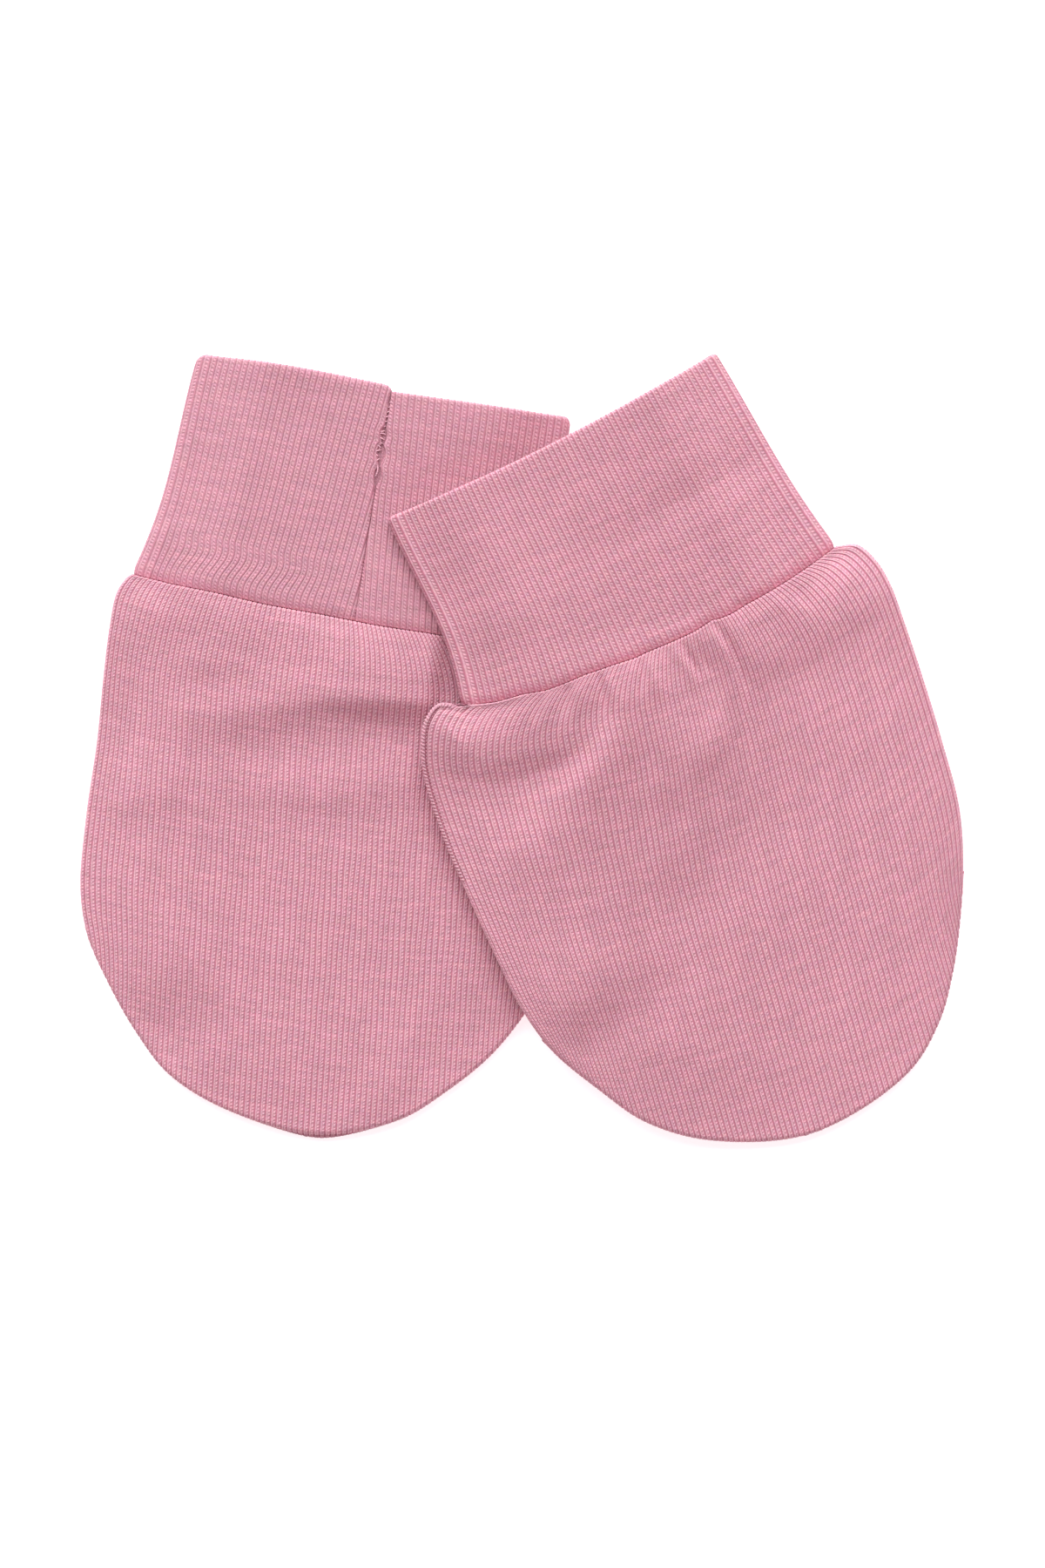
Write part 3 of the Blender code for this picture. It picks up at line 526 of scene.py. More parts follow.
def addPanel(mitten, side, material):
    values = panel[side]
    sideStretch = bodyEdge(mitten)[1]
    tipRow = int(np.argmax(sideStretch[:, 1]))
    rightSide = sideStretch[:tipRow + 1]
    leftSide = sideStretch[::-1][:len(sideStretch) - tipRow]
    wale = waleColumns(mitten["wales"], values["perWale"])
    shares = rowShares(values["rows"])
    spots = np.empty((len(shares), len(wale), 2))
    course = np.empty((len(shares), len(wale)))
    place = wale / mitten["wales"] * 2.0 - 1.0
    for c, w in enumerate(place):
        path = columnPath(mitten, w, leftSide, rightSide)
        length = lengthsAlong(path)
        spots[:, c, 0] = np.interp(shares * length[-1], length, path[:, 0])
        spots[:, c, 1] = np.interp(shares * length[-1], length, path[:, 1])
        course[:, c] = shares * length[-1] / panel["courseSpacing"]
    # every wale wanders a little from its straight line, except at the panel's edge
    inside = np.minimum(1.0, panel["wanderEase"] * (1.0 - np.abs(place)))
    wander = sum(size * np.sin(course * byCourse + wale * byWale)
                 for size, byCourse, byWale in panel["wanderWaves"])
    spots[:, :, 0] += panel["waleWander"] * wander * inside * np.sin(np.pi * shares)[:, None]

    height = panelHeight(mitten, side, spots)
    if side == "back" and mitten["tipPeek"] is not None:
        middle, spread, out = mitten["tipPeek"]
        nearTip = smoothStep((shares[:, None] - panel["tipFrom"]) / (1.0 - panel["tipFrom"]))
        spots[:, :, 1] += out * bell((spots[:, :, 0] - middle) / spread) * nearTip
    base = lifted(mitten, spots, height)
    normals = surfaceNormals(base)
    if side == "back":
        normals = -normals
    relief = waleRelief(wale)[None, :] * np.ones(len(shares))[:, None]
    relief *= 1.0 + panel["uneven"] * np.sin(np.floor(wale) * panel["unevenTurn"])[None, :]
    outer = base + normals * (values["depth"] * relief)[..., None]
    outer[..., 2] = np.maximum(outer[..., 2], 0.0)

    # the plain inner face uses one column a wale and every few rows
    rowsIn = sorted(set(range(0, len(shares), panel["innerEvery"])) | {len(shares) - 1})
    colsIn = list(range(0, len(wale), values["perWale"]))
    inward = normals.copy()
    inward[0] = (0.0, 0.0, 1.0 if side == "front" else -1.0)     # the cut end stands upright
    inner = (base - inward * cloth)[np.ix_(rowsIn, colsIn)]
    rows, cols = len(shares), len(wale)
    outerId = np.arange(rows * cols).reshape(rows, cols)
    innerId = rows * cols + np.arange(len(rowsIn) * len(colsIn)).reshape(len(rowsIn), len(colsIn))

    faces = quads(outerId).tolist() + quads(innerId)[:, ::-1].tolist()
    for i, (a, b) in enumerate(zip(colsIn, colsIn[1:])):
        faces.append([*outerId[0, a:b + 1], innerId[0, i + 1], innerId[0, i]])
        faces.append([*outerId[-1, a:b + 1][::-1], innerId[-1, i], innerId[-1, i + 1]])
    for i, (a, b) in enumerate(zip(rowsIn, rowsIn[1:])):
        faces.append([*outerId[a:b + 1, 0][::-1], innerId[i, 0], innerId[i + 1, 0]])
        faces.append([*outerId[a:b + 1, -1], innerId[i + 1, -1], innerId[i, -1]])
    if side == "back":
        faces = [face[::-1] for face in faces]

    knit = np.stack(np.broadcast_arrays(wale[None], course, unshadedKnit), axis=-1)
    knitInner = knit[np.ix_(rowsIn, colsIn)]
    perVertex = np.concatenate([knit.reshape(-1, 3), knitInner.reshape(-1, 3)])
    corners = perVertex[np.concatenate(faces)]
    points = np.concatenate([outer.reshape(-1, 3), inner.reshape(-1, 3)])
    name = mitten["name"] + side.capitalize() + "Knit"
    piece = makeMesh(name, points, faces, corners, material)
    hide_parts(mitten["node"] + "_" + side)
    middle = spots[1:, 1:] - spots[:-1, :-1]
    restsOn = ["tableTop"] if side == "back" else [mitten["name"] + "BackKnit"]
    if mitten["liesOver"] is not None and side == "back":
        restsOn += ["leftMittenFrontKnit", "leftMittenCuffKnit"]


cuff = dict(
    wales=134, perWale=6,
    outerRows=64, foldRows=9, innerRows=7,
    depth=0.10, endRound=1.5, endDrop=0.28,
    raggedEnd=0.06, raggedTurns=(2.9, 1.7), squareness=0.6, sideShare=0.46, sideWidth=13.0, sideLow=0.7,
    slot=0.3, layer=1.0, foldReach=0.45,
    # painted shade beside the seam: how much it darkens the cuff, and over how many millimetres
    seamShadeDepth=0.45, seamShadeWidth=1.0,
    length=32.0, endLength=math.pi * 2.0,      # about; and the strip's length round one side
    rowPlaces=(0.0, 0.12, 0.28, 0.48, 0.75, 1.1), evenFrom=1.7,
    foldFades=2.0, foldShows=0.4,
)


# the ring's squarish ends: outward and upward shares of the radius, by the angle of the face
def endShape(face):
    return [np.sign(v) * np.abs(v) ** cuff["squareness"]
            for v in (np.cos(face).round(9), np.sin(face))]


# Near the seam a cuff's wales can swing: from this share of the length, and over these shares
# of the width it swells (start, length) and dies away.
sway = dict(start=0.78, swells=(0.03, 0.1), dies=(0.35, 0.15))


# Where the cuff strip's two ends are sewn together: shares across it at the mouth and at the cuff
# seam, how far the wales beside it lean from it (shares, at the mouth), half width of its groove.
# The eyes are the openings that the stitches pull: place and half length (shares), half width.
join = dict(
    atMouth=0.525, atSeam=0.547, leanLeft=0.053, leanRight=-0.065,
    groove=0.09, eyes=((0.197, 0.030, 0.40), (0.275, 0.041, 0.52), (0.370, 0.037, 0.45)),
    bow=1.5, depth=0.42, edgeRound=0.45,
    narrows=0.6, narrowsFrom=0.4, narrowsOver=0.1,
    bulge=-0.45, step=0.82, cornerRound=0.022,
    mouthWidth=58.8, seamWidth=64.2,
)


def joinOpening(down):
    narrowing = smoothStep((down - join["narrowsFrom"]) / join["narrowsOver"])
    wide = join["groove"] * (1.0 - join["narrows"] * narrowing)
    for place, half, width in join["eyes"]:
        wide = wide + width * np.sqrt(np.clip(1.0 - ((down - place) / half) ** 2, 0.0, 1.0)) ** 1.5
    return wide


# The wales beside the join bow round its eyes, and those that it cuts off end in its groove.
# Gives the new shares across and the distances from the groove's edge.
def bendRoundJoin(share, down, left, shareAtSeam, ends):
    width = mix(join["mouthWidth"], join["seamWidth"], down)
    line = mix(join["atMouth"], shareAtSeam, down)
    sign = np.where(left, -1.0, 1.0)
    lean = np.where(left, join["leanLeft"], join["leanRight"]) * (1.0 - down)
    fromEnd = np.where(left, (share - ends[0]) / (shareAtSeam - ends[0]),
                       (ends[1] - share) / (ends[1] - shareAtSeam))
    offset = share + lean * fromEnd - line
    lastOffset = shareAtSeam + lean - line
    opening = joinOpening(down)
    moved = offset + sign * opening / width * np.exp(-np.abs(offset) * width / join["bow"])
    divisor = np.where(np.abs(lastOffset) < 1e-6, 1e-6 * -sign, lastOffset)
    passed = np.clip(offset / divisor, 0.0, 1.0)
    inside = sign * opening / width * (1.0 - passed)
    new = line + np.where(offset * sign < 0.0, inside, moved)
    return new, np.abs(new - line) * width - opening


def mouthEdge(mitten, share):
    ends = straightAcross(mitten, "mouth", share)
    bow = mitten["mouthBow"] * (1.0 - (2.0 * share - 1.0) ** 2)
    if mitten["joinOnTop"]:
        at = join["atMouth"]
        bow = np.where(
            share < at,
            join["bulge"] * np.sin(np.pi * np.clip(share / at, 0.0, 1.0))
            + join["step"] * (1.0 - roundOver((at - share) / join["cornerRound"])),
            join["step"] * (1.0 - share) / (1.0 - at))
    width = math.dist(mitten["mouthLeft"], mitten["mouthRight"])
    for corner, place in zip(mitten["mouthCorners"], (share, 1.0 - share)):
        bow = bow + corner * (1.0 - roundOver(place * width / corner))
    return ends + bow[..., None] * np.array((0.0, 1.0))


# height in the cuff from a share of its thickness: it thins toward its two sides, where its edge
# lies low, and it has creases
def cuffHeight(mitten, share, side, halfWidth, spots):
    inside = smoothStep((1.0 - np.abs(side)) * halfWidth / cuff["sideWidth"])
    full = mix(cuff["sideShare"], 1.0, inside) * cuffThickness
    for fold in mitten["cuffFolds"]:
        full = full + foldHeight(fold, spots.reshape(-1, 2)).reshape(spots.shape[:-1])
    return full * np.clip(share, 0.0, 1.0) ** (1.0 + cuff["sideLow"] * (1.0 - inside))


# once round the flattened ring: place across the flat part (-1 to 1), angle of its face
def ringPlace(turnShare, flatLength, endLength):
    whole = 2 * flatLength + 2 * endLength
    angles = np.linspace(90.0, -90.0, 181)
    steps = np.linalg.norm(np.diff(endShape(np.radians(angles)), axis=1), axis=0)
    lengths = np.concatenate([[0.0], np.cumsum(steps)]) * endLength / steps.sum()
    run = (turnShare % 1.0) * whole
    onTop = run < flatLength
    onRight = ~onTop & (run < flatLength + endLength)
    onUnder = ~onTop & ~onRight & (run < 2 * flatLength + endLength)
    flat = np.select([onTop, onRight, onUnder],
                     [2 * run / flatLength - 1.0, np.ones_like(run),
                      1.0 - 2 * (run - flatLength - endLength) / flatLength],
                     default=-np.ones_like(run))
    angle = np.select([onTop, onRight, onUnder],
                      [np.full_like(run, 90.0), np.interp(run - flatLength, lengths, angles),
                       np.full_like(run, -90.0)],
                      default=np.interp(run - 2 * flatLength - endLength, lengths, angles) - 180.0)
    return flat, np.radians(angle)


# the strip's section, once round both layers: fixed distance from the mouth, share of the
# remaining length, depth below the outer face, and how strongly the wales show
def stripSection():
    total = 2 * cuff["layer"] + cuff["slot"]
    endward = np.array(cuff["rowPlaces"]) / cuff["length"]
    evenly = np.linspace(1.0 - cuff["evenFrom"] / cuff["length"], 0.0, cuff["outerRows"])
    shares = np.concatenate([1.0 - endward, evenly])
    reach, inner = cuff["foldReach"], cuff["layer"] + cuff["slot"]
    rows = [(reach, share, 0.0, 1.0) for share in shares]
    for angle in np.linspace(0.0, np.pi, cuff["foldRows"] + 2)[1:-1]:
        rows.append((reach * (1 - math.sin(angle)), 0.0, total / 2 * (1 - math.cos(angle)),
                     1.0 if angle < cuff["foldFades"] else cuff["foldShows"]))
    rows += [(reach, share, total, 0.0) for share in np.linspace(0.0, 1.0, cuff["innerRows"])]
    rows += [(reach, share, inner, 0.0) for share in (1.0, 0.5, 0.0)]
    rows.append((reach - cuff["slot"] / 2, 0.0, inner - cuff["slot"] / 2, 0.0))
    rows += [(reach, share, cuff["layer"], 0.0) for share in (0.0, 0.5, 1.0)]
    return np.array(rows)


def addCuff(mitten, material):
    halfWidth = math.dist(mitten["mouthLeft"], mitten["mouthRight"]) / 2
    flatHalf = halfWidth - cuffThickness / 2
    wale = waleColumns(cuff["wales"], cuff["perWale"])[:-1]
    flat, face = ringPlace(wale / cuff["wales"], 2 * flatHalf, cuff["endLength"])
    section = stripSection()
    fixed, lengthShare, depth, strength = section.T[:, :, None]
    turn, inner = (np.floor(wale) * each for each in cuff["raggedTurns"])
    ragged = cuff["raggedEnd"] * (1.0 + np.sin(turn + np.sin(inner)))
    fromEnd = (1.0 - lengthShare) * cuff["length"] - ragged[None]
    dip = cuff["endDrop"] * (1.0 - np.clip(fromEnd / cuff["endRound"], 0.0, 1.0)) ** 2
    depth = depth + np.where(strength == 1.0, dip, 0.0)

    outward, upward = endShape(face)
    side = (flat[None] * flatHalf + (cuffThickness / 2 - depth) * outward[None]) / halfWidth
    share = (1.0 + side) / 2
    atMouth = mouthEdge(mitten, share.clip(0.02, 0.98))
    length = np.linalg.norm(seamLine(mitten, share) - atMouth, axis=-1)
    down = (fixed + lengthShare * (length - seamGap / 2 - fixed)) / length
    onFace = np.abs(face - (math.pi / 2 if mitten["joinOnTop"] else -math.pi / 2)) < 0.01
    ends = (1.0 - flatHalf / halfWidth) / 2, (1.0 + flatHalf / halfWidth) / 2
    starts = np.flatnonzero(onFace & (wale % 1.0 == 0.0))
    first = starts[np.argmin(np.abs(share[0, starts] - join["atSeam"]))]
    goesRight = mitten["joinOnTop"]
    left = (wale < wale[first]) == goesRight
    bent, fromJoin = bendRoundJoin(share, down, left[None], share[0, first], ends)
    spacing = np.gradient(bent, axis=1) / np.gradient(share, axis=1)
    share = np.where(onFace, bent, share)
    wave = np.sin(2 * np.pi * np.clip((down - sway["start"]) / (1.0 - sway["start"]), 0.0, 1.0))
    grown, gone = (smoothStep((share - start) / run) for start, run in (sway["swells"], sway["dies"]))
    reach = grown * (1.0 - gone)
    share = share + np.where(face > 0.0, mitten["cuffSway"] * wave * reach / (2 * halfWidth), 0.0)
    groove = np.where(onFace, 1.0 - roundOver(fromJoin / join["edgeRound"]), 0.0)
    depth = depth + join["depth"] * groove * strength
    squeeze = np.where(onFace, spacing.clip(0.0, 1.0), 1.0)
    radius = cuffThickness / 2 - depth
    spots = mix(mouthEdge(mitten, share), seamLine(mitten, share), down[..., None])
    side = 2.0 * share - 1.0
    waist = np.where(side < 0, mitten["waistLeft"], mitten["waistRight"])
    spots[..., 0] -= waist * side * np.sin(np.pi * np.clip(down, 0, 1) ** waistShift)
    heightShare = 0.5 + radius * upward[None] / cuffThickness
    height = cuffHeight(mitten, heightShare, side, halfWidth, spots) + lyingHeight(mitten, spots)
    base = lifted(mitten, spots, height)
    normals = surfaceNormals(base, closed=True)
    relief = waleRelief(wale)[None] * strength * squeeze
    points = base + normals * (cuff["depth"] * relief)[..., None]
    points[..., 2] = np.maximum(points[..., 2], 0.0)

    rows, cols = points.shape[:2]
    ids = np.arange(rows * cols).reshape(rows, cols)
    ids = np.concatenate([ids, ids[:1]], axis=0)
    ids = np.concatenate([ids, ids[:, :1]], axis=1)
    faces = quads(ids)
    course = lengthsAlong(base[:, 10])
    course = np.append(course, course[-1]) / panel["courseSpacing"]
    wales = np.append(wale, cuff["wales"])
    # painted shade on the cuff's last courses beside the seam, where the cuff dips under the body's rim
    paintedSeamShade = np.where(strength == 1.0, bell(fromEnd / cuff["seamShadeWidth"]), 0.0)
    room = np.pad(unshadedKnit - cuff["seamShadeDepth"] * paintedSeamShade, ((0, 1), (0, 1)), mode="wrap")
    knit = np.stack(np.broadcast_arrays(wales[None], course[:, None], room), axis=-1)
    corners = cells(knit, 2).reshape(-1, 3)
    name = mitten["name"] + "CuffKnit"
    piece = makeMesh(name, points.reshape(-1, 3), faces.tolist(), corners, material)
    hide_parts(mitten["node"] + "_cuff")


yarnTube = dict(sides=6, steps=4, endShare=0.35)


# short lengths of yarn, each a tube through points given in millimetres in the pair's frame
def addYarn(name, node, strands, radii, material):
    points, faces, knit = [], [], []
    sides = yarnTube["sides"]
    turns = np.linspace(0.0, 2 * np.pi, sides, endpoint=False)
    for number, (strand, radius) in enumerate(zip(strands, radii)):
        line = smoothCurve(strand, steps=yarnTube["steps"])
        forward = np.gradient(line, axis=0)
        across = np.cross(forward, (0.0, 0.0, 1.0))
        across /= np.linalg.norm(across, axis=1, keepdims=True)
        upward = np.cross(across, forward)
        upward /= np.linalg.norm(upward, axis=1, keepdims=True)
        share = np.linspace(0.0, 1.0, len(line))
        wide = radius * mix(yarnTube["endShare"], 1.0, np.sqrt(np.sin(np.pi * share).clip(0.0)))
        start = len(points)
        for spot, a, u, w, t in zip(line, across, upward, wide, share):
            for turn in turns:
                points.append(spot + w * (math.cos(turn) * a + math.sin(turn) * u))
                knit.append((number + ribs["lineAt"], number * 3.0 + 2.0 * t, unshadedKnit))
        ids = start + np.arange(len(line) * sides).reshape(-1, sides)
        ids = np.concatenate([ids, ids[:, :1]], axis=1)
        faces += quads(ids)[:, [0, 3, 2, 1]].tolist()
        faces += [ids[0, :sides][::-1].tolist(), ids[-1, :sides].tolist()]
    corners = np.array(knit)[np.concatenate(faces)]
    piece = makeMesh(name, np.array(points), faces, corners, material)
    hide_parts(node)
    print(name, len(faces), "faces")
    return piece


# The yarn seen in the left cuff's join: stitches that cross its groove, and loops in its eyes.
# Points are across and along; the ends lie deeper than the middle. The loops' points were picked
# and turned into millimetres by a program.
joinYarn = dict(
    radius=0.11, endDepth=0.30, middleDepth=0.15,
    grooveFrom=(5.62, -33.6), grooveTo=(4.45, -29.0), spacing=0.62, reach=(0.34, -0.12),
    loops=(
        ((3.66, -28.42), (4.12, -28.21), (4.71, -28.41)),
        ((3.65, -27.67), (4.23, -27.95), (4.89, -27.72)),
        ((3.56, -26.96), (4.04, -27.22), (4.74, -26.93)),
        ((3.42, -26.28), (3.77, -26.57), (4.60, -26.30)),
        ((3.20, -25.59), (3.71, -26.00), (4.09, -25.81), (3.85, -25.28)),
        ((3.13, -24.96), (3.59, -25.18), (4.38, -25.42)),
        ((2.93, -24.36), (3.39, -24.61), (3.99, -24.39)),
        ((3.13, -23.85), (3.65, -23.72), (4.12, -24.05)),
        ((3.27, -23.35), (2.86, -22.73), (2.98, -21.82), (3.40, -21.14)),
        ((3.88, -23.25), (3.94, -22.42), (3.85, -21.73), (3.57, -21.11)),
        ((2.56, -20.44), (2.92, -20.65), (3.47, -20.41)),
        ((2.49, -19.62), (2.80, -19.84), (3.29, -19.67)),
    ),
)


def addJoinYarn(mitten, material):
    first, last = np.array(joinYarn["grooveFrom"]), np.array(joinYarn["grooveTo"])
    count = int(np.linalg.norm(last - first) / joinYarn["spacing"])
    reach = np.array(joinYarn["reach"])
    paths = [[spot - reach, spot, spot + reach] for spot in first + (last - first) * (
        np.arange(count)[:, None] / (count - 1))]
    paths += [[np.array(spot) for spot in loop] for loop in joinYarn["loops"]]
    strands = []
    for path in paths:
        rise = np.sin(np.pi * np.linspace(0.0, 1.0, len(path)))
        height = cuffThickness - mix(joinYarn["endDepth"], joinYarn["middleDepth"], rise)
        strands.append(lifted(mitten, np.array(path), height))
    name = mitten["name"] + "CuffJoinYarn"
    radii = [joinYarn["radius"]] * len(strands)
    return addYarn(name, mitten["node"] + "_cuff", strands, radii, material)


# The side seam where it rolls onto the front: slanted stitches over the edge, and a row of small
# ones in the groove beside them. Lengths along the seam from the cuff, and distances in from it.
seamYarn = dict(
    start=1.5, end=33.0,
    over=dict(pitch=0.55, radius=0.14, above=0.05,
              inward=(0.10, 0.42, 0.74), forward=(0.0, 0.2, 0.42)),
    beside=dict(pitch=0.55, radius=0.09, above=0.06,
                inward=(0.92, 0.97, 0.95), forward=(0.0, 0.16, 0.32)),
)


def addSeamYarn(mitten, material):
    line = bodyEdge(mitten)[1][::-1]
    lengths = lengthsAlong(line)

    def spotAt(length, inward):
        spot, ahead = (np.array([np.interp(at, lengths, line[:, k]) for k in (0, 1)])
                       for at in (length, length + 0.3))
        forward = (ahead - spot) / np.linalg.norm(ahead - spot)
        return spot + inward * np.array((forward[1], -forward[0]))

    strands, radii = [], []
    for row in (seamYarn["over"], seamYarn["beside"]):
        for start in np.arange(seamYarn["start"], seamYarn["end"], row["pitch"]):
            path = np.array([spotAt(start + f, i) for f, i in zip(row["forward"], row["inward"])])
            height = panelHeight(mitten, "front", path) + row["above"]
            strands.append(lifted(mitten, path, height))
            radii.append(row["radius"])
    name = mitten["name"] + "SideSeamYarn"
    return addYarn(name, mitten["node"] + "_front", strands, radii, material)


# sets a node's inputs: a number or a colour as it is, and anything else by a link
def fill(tree, node, sources):
    for key, source in sources.items():
        if isinstance(source, (int, float, tuple)):
            node.inputs[key].default_value = source
        else:
            tree.links.new(source, node.inputs[key])


def addNode(tree, kind, sources=None, **values):
    node = tree.nodes.new(kind)
    for key, value in values.items():
        setattr(node, key, value)
    fill(tree, node, sources or {})
    return node


def maths(tree, operation, *sources):
    return addNode(tree, "ShaderNodeMath", dict(enumerate(sources)), operation=operation).outputs[0]


def newGroup(name, inputs, outputs):
    tree = bpy.data.node_groups.new(name, "ShaderNodeTree")
    for socketName, kind in inputs:
        tree.interface.new_socket(name=socketName, in_out="INPUT", socket_type=kind)
    for socketName, kind in outputs:
        tree.interface.new_socket(name=socketName, in_out="OUTPUT", socket_type=kind)
    return tree, tree.nodes.new("NodeGroupInput"), tree.nodes.new("NodeGroupOutput")


stitchLook = dict(
    wobbleScale=0.6, wobbleDetail=1.0, wobble=0.9,
    lineHalf=0.20, beadHalf=0.26, lineWave=0.16, shadePower=0.6,
)


# the stitches: in each wale one leg shows as a smooth line, the other as a row of beads
def stitchGroup():
    tree, start, end = newGroup(
        "ribStitches",
        [("Knit", "NodeSocketVector"), ("Bead Slant", "NodeSocketFloat"),
         ("Bead Depth", "NodeSocketFloat")],
        [("Height", "NodeSocketFloat"), ("Shade", "NodeSocketFloat")])
    knit = start.outputs["Knit"]
    look = stitchLook
    sources = {"Scale": look["wobbleScale"], "Detail": look["wobbleDetail"], "Vector": knit}
    wobble = addNode(tree, "ShaderNodeTexNoise", sources, noise_dimensions="3D")
    split = addNode(tree, "ShaderNodeSeparateXYZ", {0: knit})
    across = maths(tree, "FRACT", split.outputs["X"])
    along = maths(tree, "MULTIPLY_ADD", wobble.outputs["Fac"], look["wobble"], split.outputs["Y"])

    def ridge(centre, half):
        off = maths(tree, "DIVIDE", maths(tree, "SUBTRACT", across, centre), half)
        squared = maths(tree, "MULTIPLY", off, off)
        return maths(tree, "MAXIMUM", maths(tree, "SUBTRACT", 1.0, squared), 0.0)

    def wave(phase):
        turned = maths(tree, "MULTIPLY_ADD", maths(tree, "ADD", along, phase), 2 * math.pi, 0.0)
        return maths(tree, "MULTIPLY_ADD", maths(tree, "SINE", turned), 0.5, 0.5)

    fromBead = maths(tree, "SUBTRACT", across, ribs["beadAt"])
    slanted = maths(tree, "MULTIPLY", fromBead, start.outputs["Bead Slant"])
    bead = maths(tree, "SUBTRACT", 1.0, maths(
        tree, "MULTIPLY", maths(tree, "SUBTRACT", 1.0, wave(slanted)), start.outputs["Bead Depth"]))
    line = maths(tree, "MULTIPLY", ridge(ribs["lineAt"], look["lineHalf"]),
                 maths(tree, "MULTIPLY_ADD", wave(0.5), look["lineWave"], 1.0 - look["lineWave"]))
    beads = maths(tree, "MULTIPLY", ridge(ribs["beadAt"], look["beadHalf"]), bead)
    height = maths(tree, "MAXIMUM", line, beads)
    # Shade is low where the stitches lie low and takes the colour there toward the painted shade of the
    # grooves
    fill(tree, end, {"Height": height, "Shade": maths(tree, "POWER", height, look["shadePower"])})
    return tree


# How the yarn's tone varies: by stitch and by wale, and by noises, each with its scale over the
# stitches, its detail and its share.
unevenTone = dict(
    stitch=0.5, wale=0.1,
    streak=((0.10, 1.1, 1.0), 2.0, 1.9),
    patch=((0.05, 0.03, 1.0), 2.0, 0.6),
    fibre=((9.0, 5.0, 1.0), 3.0, 0.7),
)


# the yarn's colour: painted shade between the stitches, uneven from wale to wale and stitch to stitch
def yarnGroup():
    tree, start, end = newGroup(
        "heatheredYarn",
        [("Knit", "NodeSocketVector"), ("Shade", "NodeSocketFloat"),
         ("Crest Colour", "NodeSocketColor"), ("Groove Shade Colour", "NodeSocketColor"),
         ("Unevenness", "NodeSocketFloat"), ("Mottle", "NodeSocketFloat")],
        [("Colour", "NodeSocketColor"), ("Fibre", "NodeSocketFloat")])
    knit = start.outputs["Knit"]

    def vectorMaths(operation, sources):
        return addNode(tree, "ShaderNodeVectorMath", sources, operation=operation).outputs[0]

    stitch = vectorMaths("FLOOR", {0: knit})
    perStitch = addNode(tree, "ShaderNodeTexWhiteNoise", {"Vector": stitch}, noise_dimensions="3D")
    split = addNode(tree, "ShaderNodeSeparateXYZ", {0: stitch})
    perWale = addNode(tree, "ShaderNodeTexWhiteNoise", {"W": split.outputs["X"]},
                      noise_dimensions="1D")

    def knitNoise(scale, detail):
        stretched = vectorMaths("MULTIPLY", {0: knit, 1: scale})
        sources = {"Scale": 1.0, "Detail": detail, "Vector": stretched}
        return addNode(tree, "ShaderNodeTexNoise", sources, noise_dimensions="3D").outputs["Fac"]

    parts = [(perStitch.outputs["Value"], unevenTone["stitch"]),
             (perWale.outputs["Value"], unevenTone["wale"])]
    for name in ("streak", "patch", "fibre"):
        scale, detail, part = unevenTone[name]
        parts.append((knitNoise(scale, detail), part))
    total = 0.0
    for source, part in parts:
        total = maths(tree, "MULTIPLY_ADD", source, part, total)
    swing = maths(tree, "SUBTRACT", total, sum(part for _, part in parts) / 2)
    factor = maths(tree, "MULTIPLY_ADD", swing, start.outputs["Unevenness"], 1.0)
    # where the stitches lie low the colour goes to the groove colour, which is painted shade
    blend = {0: start.outputs["Shade"], 6: start.outputs["Groove Shade Colour"],
             7: start.outputs["Crest Colour"]}     # a colour mix has its colours at 6 and 7
    shaded = addNode(tree, "ShaderNodeMix", blend, data_type="RGBA").outputs[2]
    # each stitch leans a little to orange or to purple
    lean = vectorMaths("SUBTRACT", {0: perStitch.outputs["Color"], 1: (0.5, 0.5, 0.5)})
    tint = vectorMaths("SCALE", {0: lean, "Scale": start.outputs["Mottle"]})
    speck = vectorMaths("MULTIPLY_ADD", {0: tint, 1: shaded, 2: shaded})
    colour = vectorMaths("SCALE", {0: speck, "Scale": factor})
    fill(tree, end, {"Colour": colour, "Fibre": parts[-1][0]})
    return tree


# the groove colour is painted shade: the yarn drawn darker and more saturated where it lies low between
# the stitches
knitLook = dict(
    crest=(0.79, 0.452, 0.525), groove=(0.565, 0.205, 0.28),
    unevenness=0.16, mottle=0.06, beadSlant=0.7, beadDepth=0.75,
    roughness=0.72, sheen=0.04, sheenRoughness=0.45, specular=0.2,
    sheenTint=(1.0, 0.86, 0.9, 1.0),
    bumpStrength=0.75, bumpDistance=0.00016, fibreBump=0.35,
)


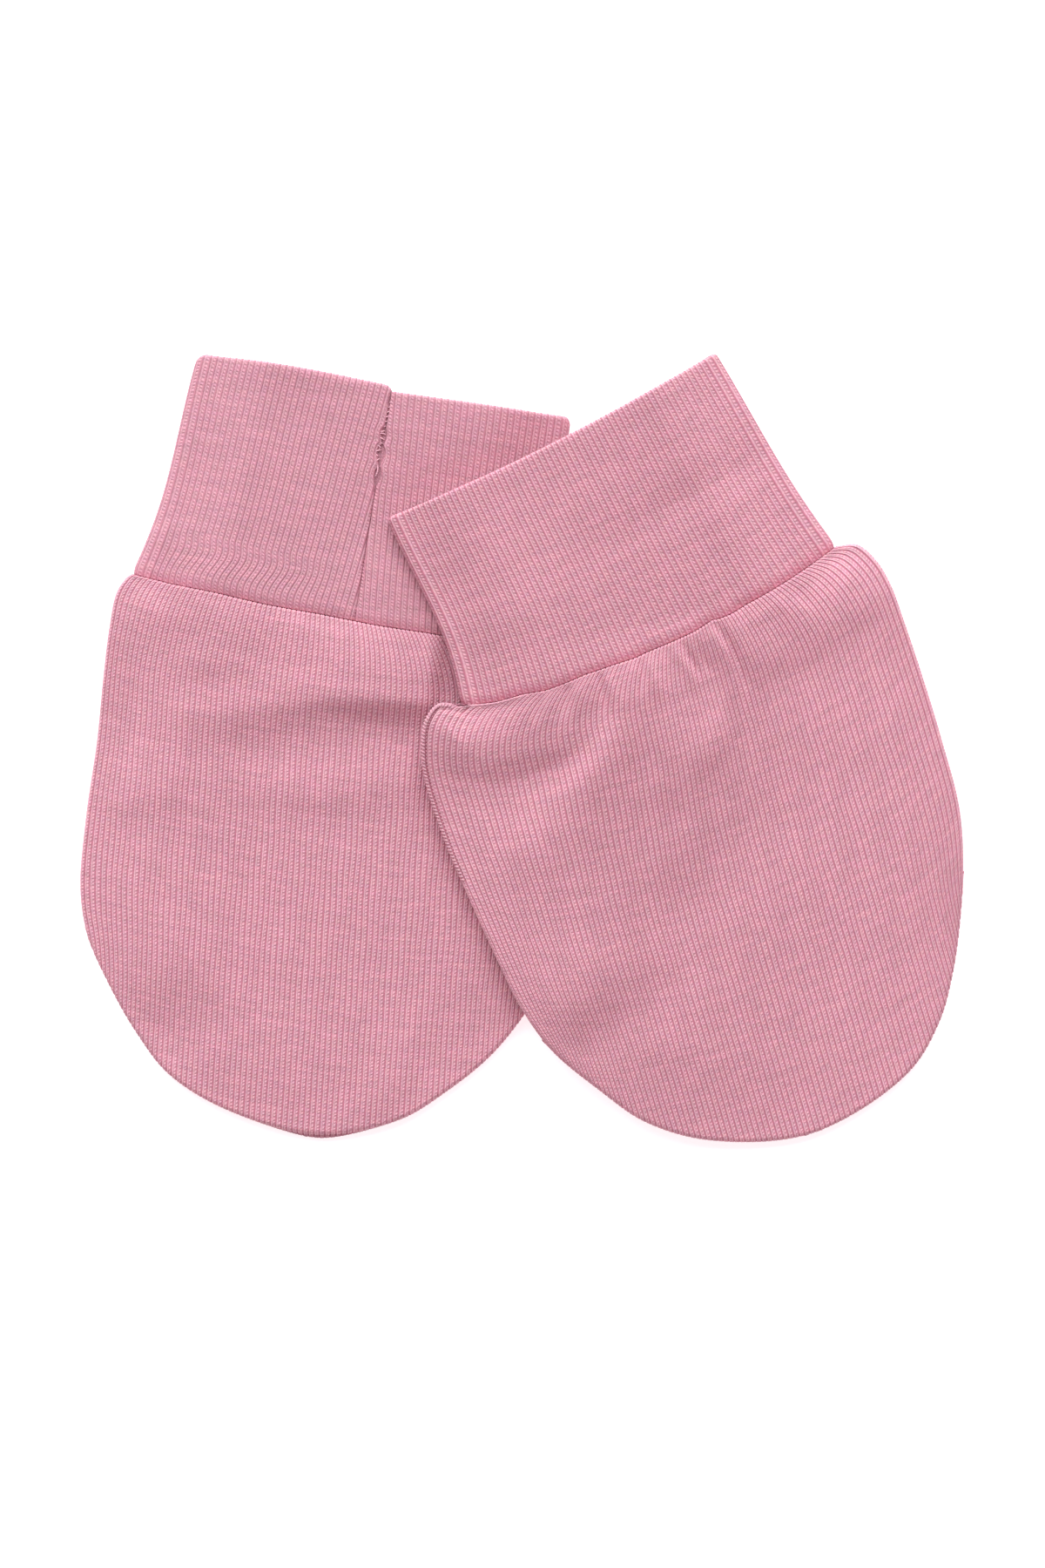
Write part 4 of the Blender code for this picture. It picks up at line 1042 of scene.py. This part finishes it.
# tone scales both colours; the last argument is how deep the painted shade of the grooves shows
def knitMaterial(name, stitches, yarn, tone=1.0, grooveShade=1.0):
    material = bpy.data.materials.new(name)
    material.use_nodes = True
    tree = material.node_tree
    knit = addNode(tree, "ShaderNodeAttribute", attribute_name="knit").outputs["Vector"]
    rib = addNode(tree, "ShaderNodeGroup", {
        "Knit": knit, "Bead Slant": knitLook["beadSlant"], "Bead Depth": knitLook["beadDepth"],
    }, node_tree=stitches)
    split = addNode(tree, "ShaderNodeSeparateXYZ", {0: knit})
    # painted shade beside the cuff seam: the knit's third value takes the colour toward the groove
    # colour there
    room = maths(tree, "SUBTRACT", split.outputs["Z"], shadeFactorOffset)
    crest = np.array(knitLook["crest"]) * tone
    groove = mix(crest, np.array(knitLook["groove"]) * tone, grooveShade)
    colour = addNode(tree, "ShaderNodeGroup", {
        "Knit": knit, "Shade": maths(tree, "MULTIPLY", rib.outputs["Shade"], room),
        "Crest Colour": (*crest, 1.0), "Groove Shade Colour": (*groove, 1.0),
        "Unevenness": knitLook["unevenness"], "Mottle": knitLook["mottle"],
    }, node_tree=yarn)
    fibre, fibreBump = colour.outputs["Fibre"], knitLook["fibreBump"]
    bump = addNode(tree, "ShaderNodeBump", {
        "Strength": knitLook["bumpStrength"], "Distance": knitLook["bumpDistance"],
        "Height": maths(tree, "MULTIPLY_ADD", fibre, fibreBump, rib.outputs["Height"])})
    fill(tree, tree.nodes["Principled BSDF"], {
        "Base Color": colour.outputs["Colour"], "Normal": bump.outputs["Normal"],
        "Roughness": knitLook["roughness"], "Specular IOR Level": knitLook["specular"],
        "Sheen Weight": knitLook["sheen"], "Sheen Roughness": knitLook["sheenRoughness"],
        "Sheen Tint": knitLook["sheenTint"]})
    return material


studio = dict(
    sky=(1.0, 0.78, 0.82, 1.0), skyStrength=0.52,
    lampColour=(0.92, 1.0, 1.0), lampPower=176.0, lampSize=3.6, lampPlace=(-0.3, 2.5, 1.6),
    floorColour=(0.8, 0.8, 0.8, 1.0), floorGlow=0.62, glowColour=(1.0, 1.0, 1.0, 1.0),
    floorRoughness=0.9, floorSize=3.0, floorLow=0.0001, sensor=36.0, clip=(0.01, 10.0),
    lens=110.0, centreRow=900.0, middleRow=859.5, centreColumn=600.0, middleColumn=599.0,
    pixel=0.135, frameRows=1800.0, edgeHeight=0.0015,
)


def addStudio():
    scene = bpy.context.scene
    world = bpy.data.worlds.new("softRoom")
    world.use_nodes = True
    fill(world.node_tree, world.node_tree.nodes["Background"],
         {"Color": studio["sky"], "Strength": studio["skyStrength"]})
    scene.world = world
    scene.view_settings.view_transform = "Standard"

    bpy.ops.mesh.primitive_plane_add(size=studio["floorSize"],
                                     location=(0.0, 0.0, -studio["floorLow"]))
    floor = bpy.context.object
    floor.name = "tableTop"
    paper = bpy.data.materials.new("whitePaper")
    paper.use_nodes = True
    fill(paper.node_tree, paper.node_tree.nodes["Principled BSDF"], {
        "Base Color": studio["floorColour"], "Roughness": studio["floorRoughness"],
        "Emission Color": studio["glowColour"], "Emission Strength": studio["floorGlow"]})
    floor.data.materials.append(paper)

    lamp = bpy.data.lights.new("softBox", "AREA")
    lamp.energy = studio["lampPower"]
    lamp.color = studio["lampColour"]
    lamp.size = studio["lampSize"]
    holder = bpy.data.objects.new("softBox", lamp)
    holder.location = studio["lampPlace"]
    x, y, z = studio["lampPlace"]
    holder.rotation_euler = (math.atan2(math.hypot(x, y), z), 0.0, math.atan2(y, x) + math.pi / 2)
    scene.collection.objects.link(holder)

    eye = bpy.data.cameras.new("topView")
    eye.lens = studio["lens"]
    eye.sensor_width = studio["sensor"]
    eye.clip_start, eye.clip_end = studio["clip"]
    camera = bpy.data.objects.new("topView", eye)
    tall = studio["frameRows"] * studio["pixel"] * mm
    x = (studio["centreColumn"] - studio["middleColumn"]) * studio["pixel"] * mm
    y = (studio["middleRow"] - studio["centreRow"]) * studio["pixel"] * mm
    camera.location = (x, y, studio["edgeHeight"] + tall * studio["lens"] / studio["sensor"])
    scene.collection.objects.link(camera)
    scene.camera = camera


addStudio()
print("studio ready")
stitches, yarn = stitchGroup(), yarnGroup()
joinStitches = addJoinYarn(leftMitten, knitMaterial("leftMittenCuffJoin", stitches, yarn))
seamStitches = addSeamYarn(rightMitten, knitMaterial("rightMittenSideSeam", stitches, yarn, 0.86))
sewing = ((leftMitten, (), (joinStitches,)), (rightMitten, (seamStitches,), ()))
for mitten, onFront, onCuff in sewing:
    name, tone, grooveShade = mitten["name"], mitten["cuffTone"], mitten["cuffGrooveShade"]
    addPanel(mitten, "back", knitMaterial(name + "Back", stitches, yarn))
    addPanel(mitten, "front", knitMaterial(name + "Front", stitches, yarn))
    addCuff(mitten, knitMaterial(name + "Cuff", stitches, yarn, tone, grooveShade))
print("knit pieces ready")
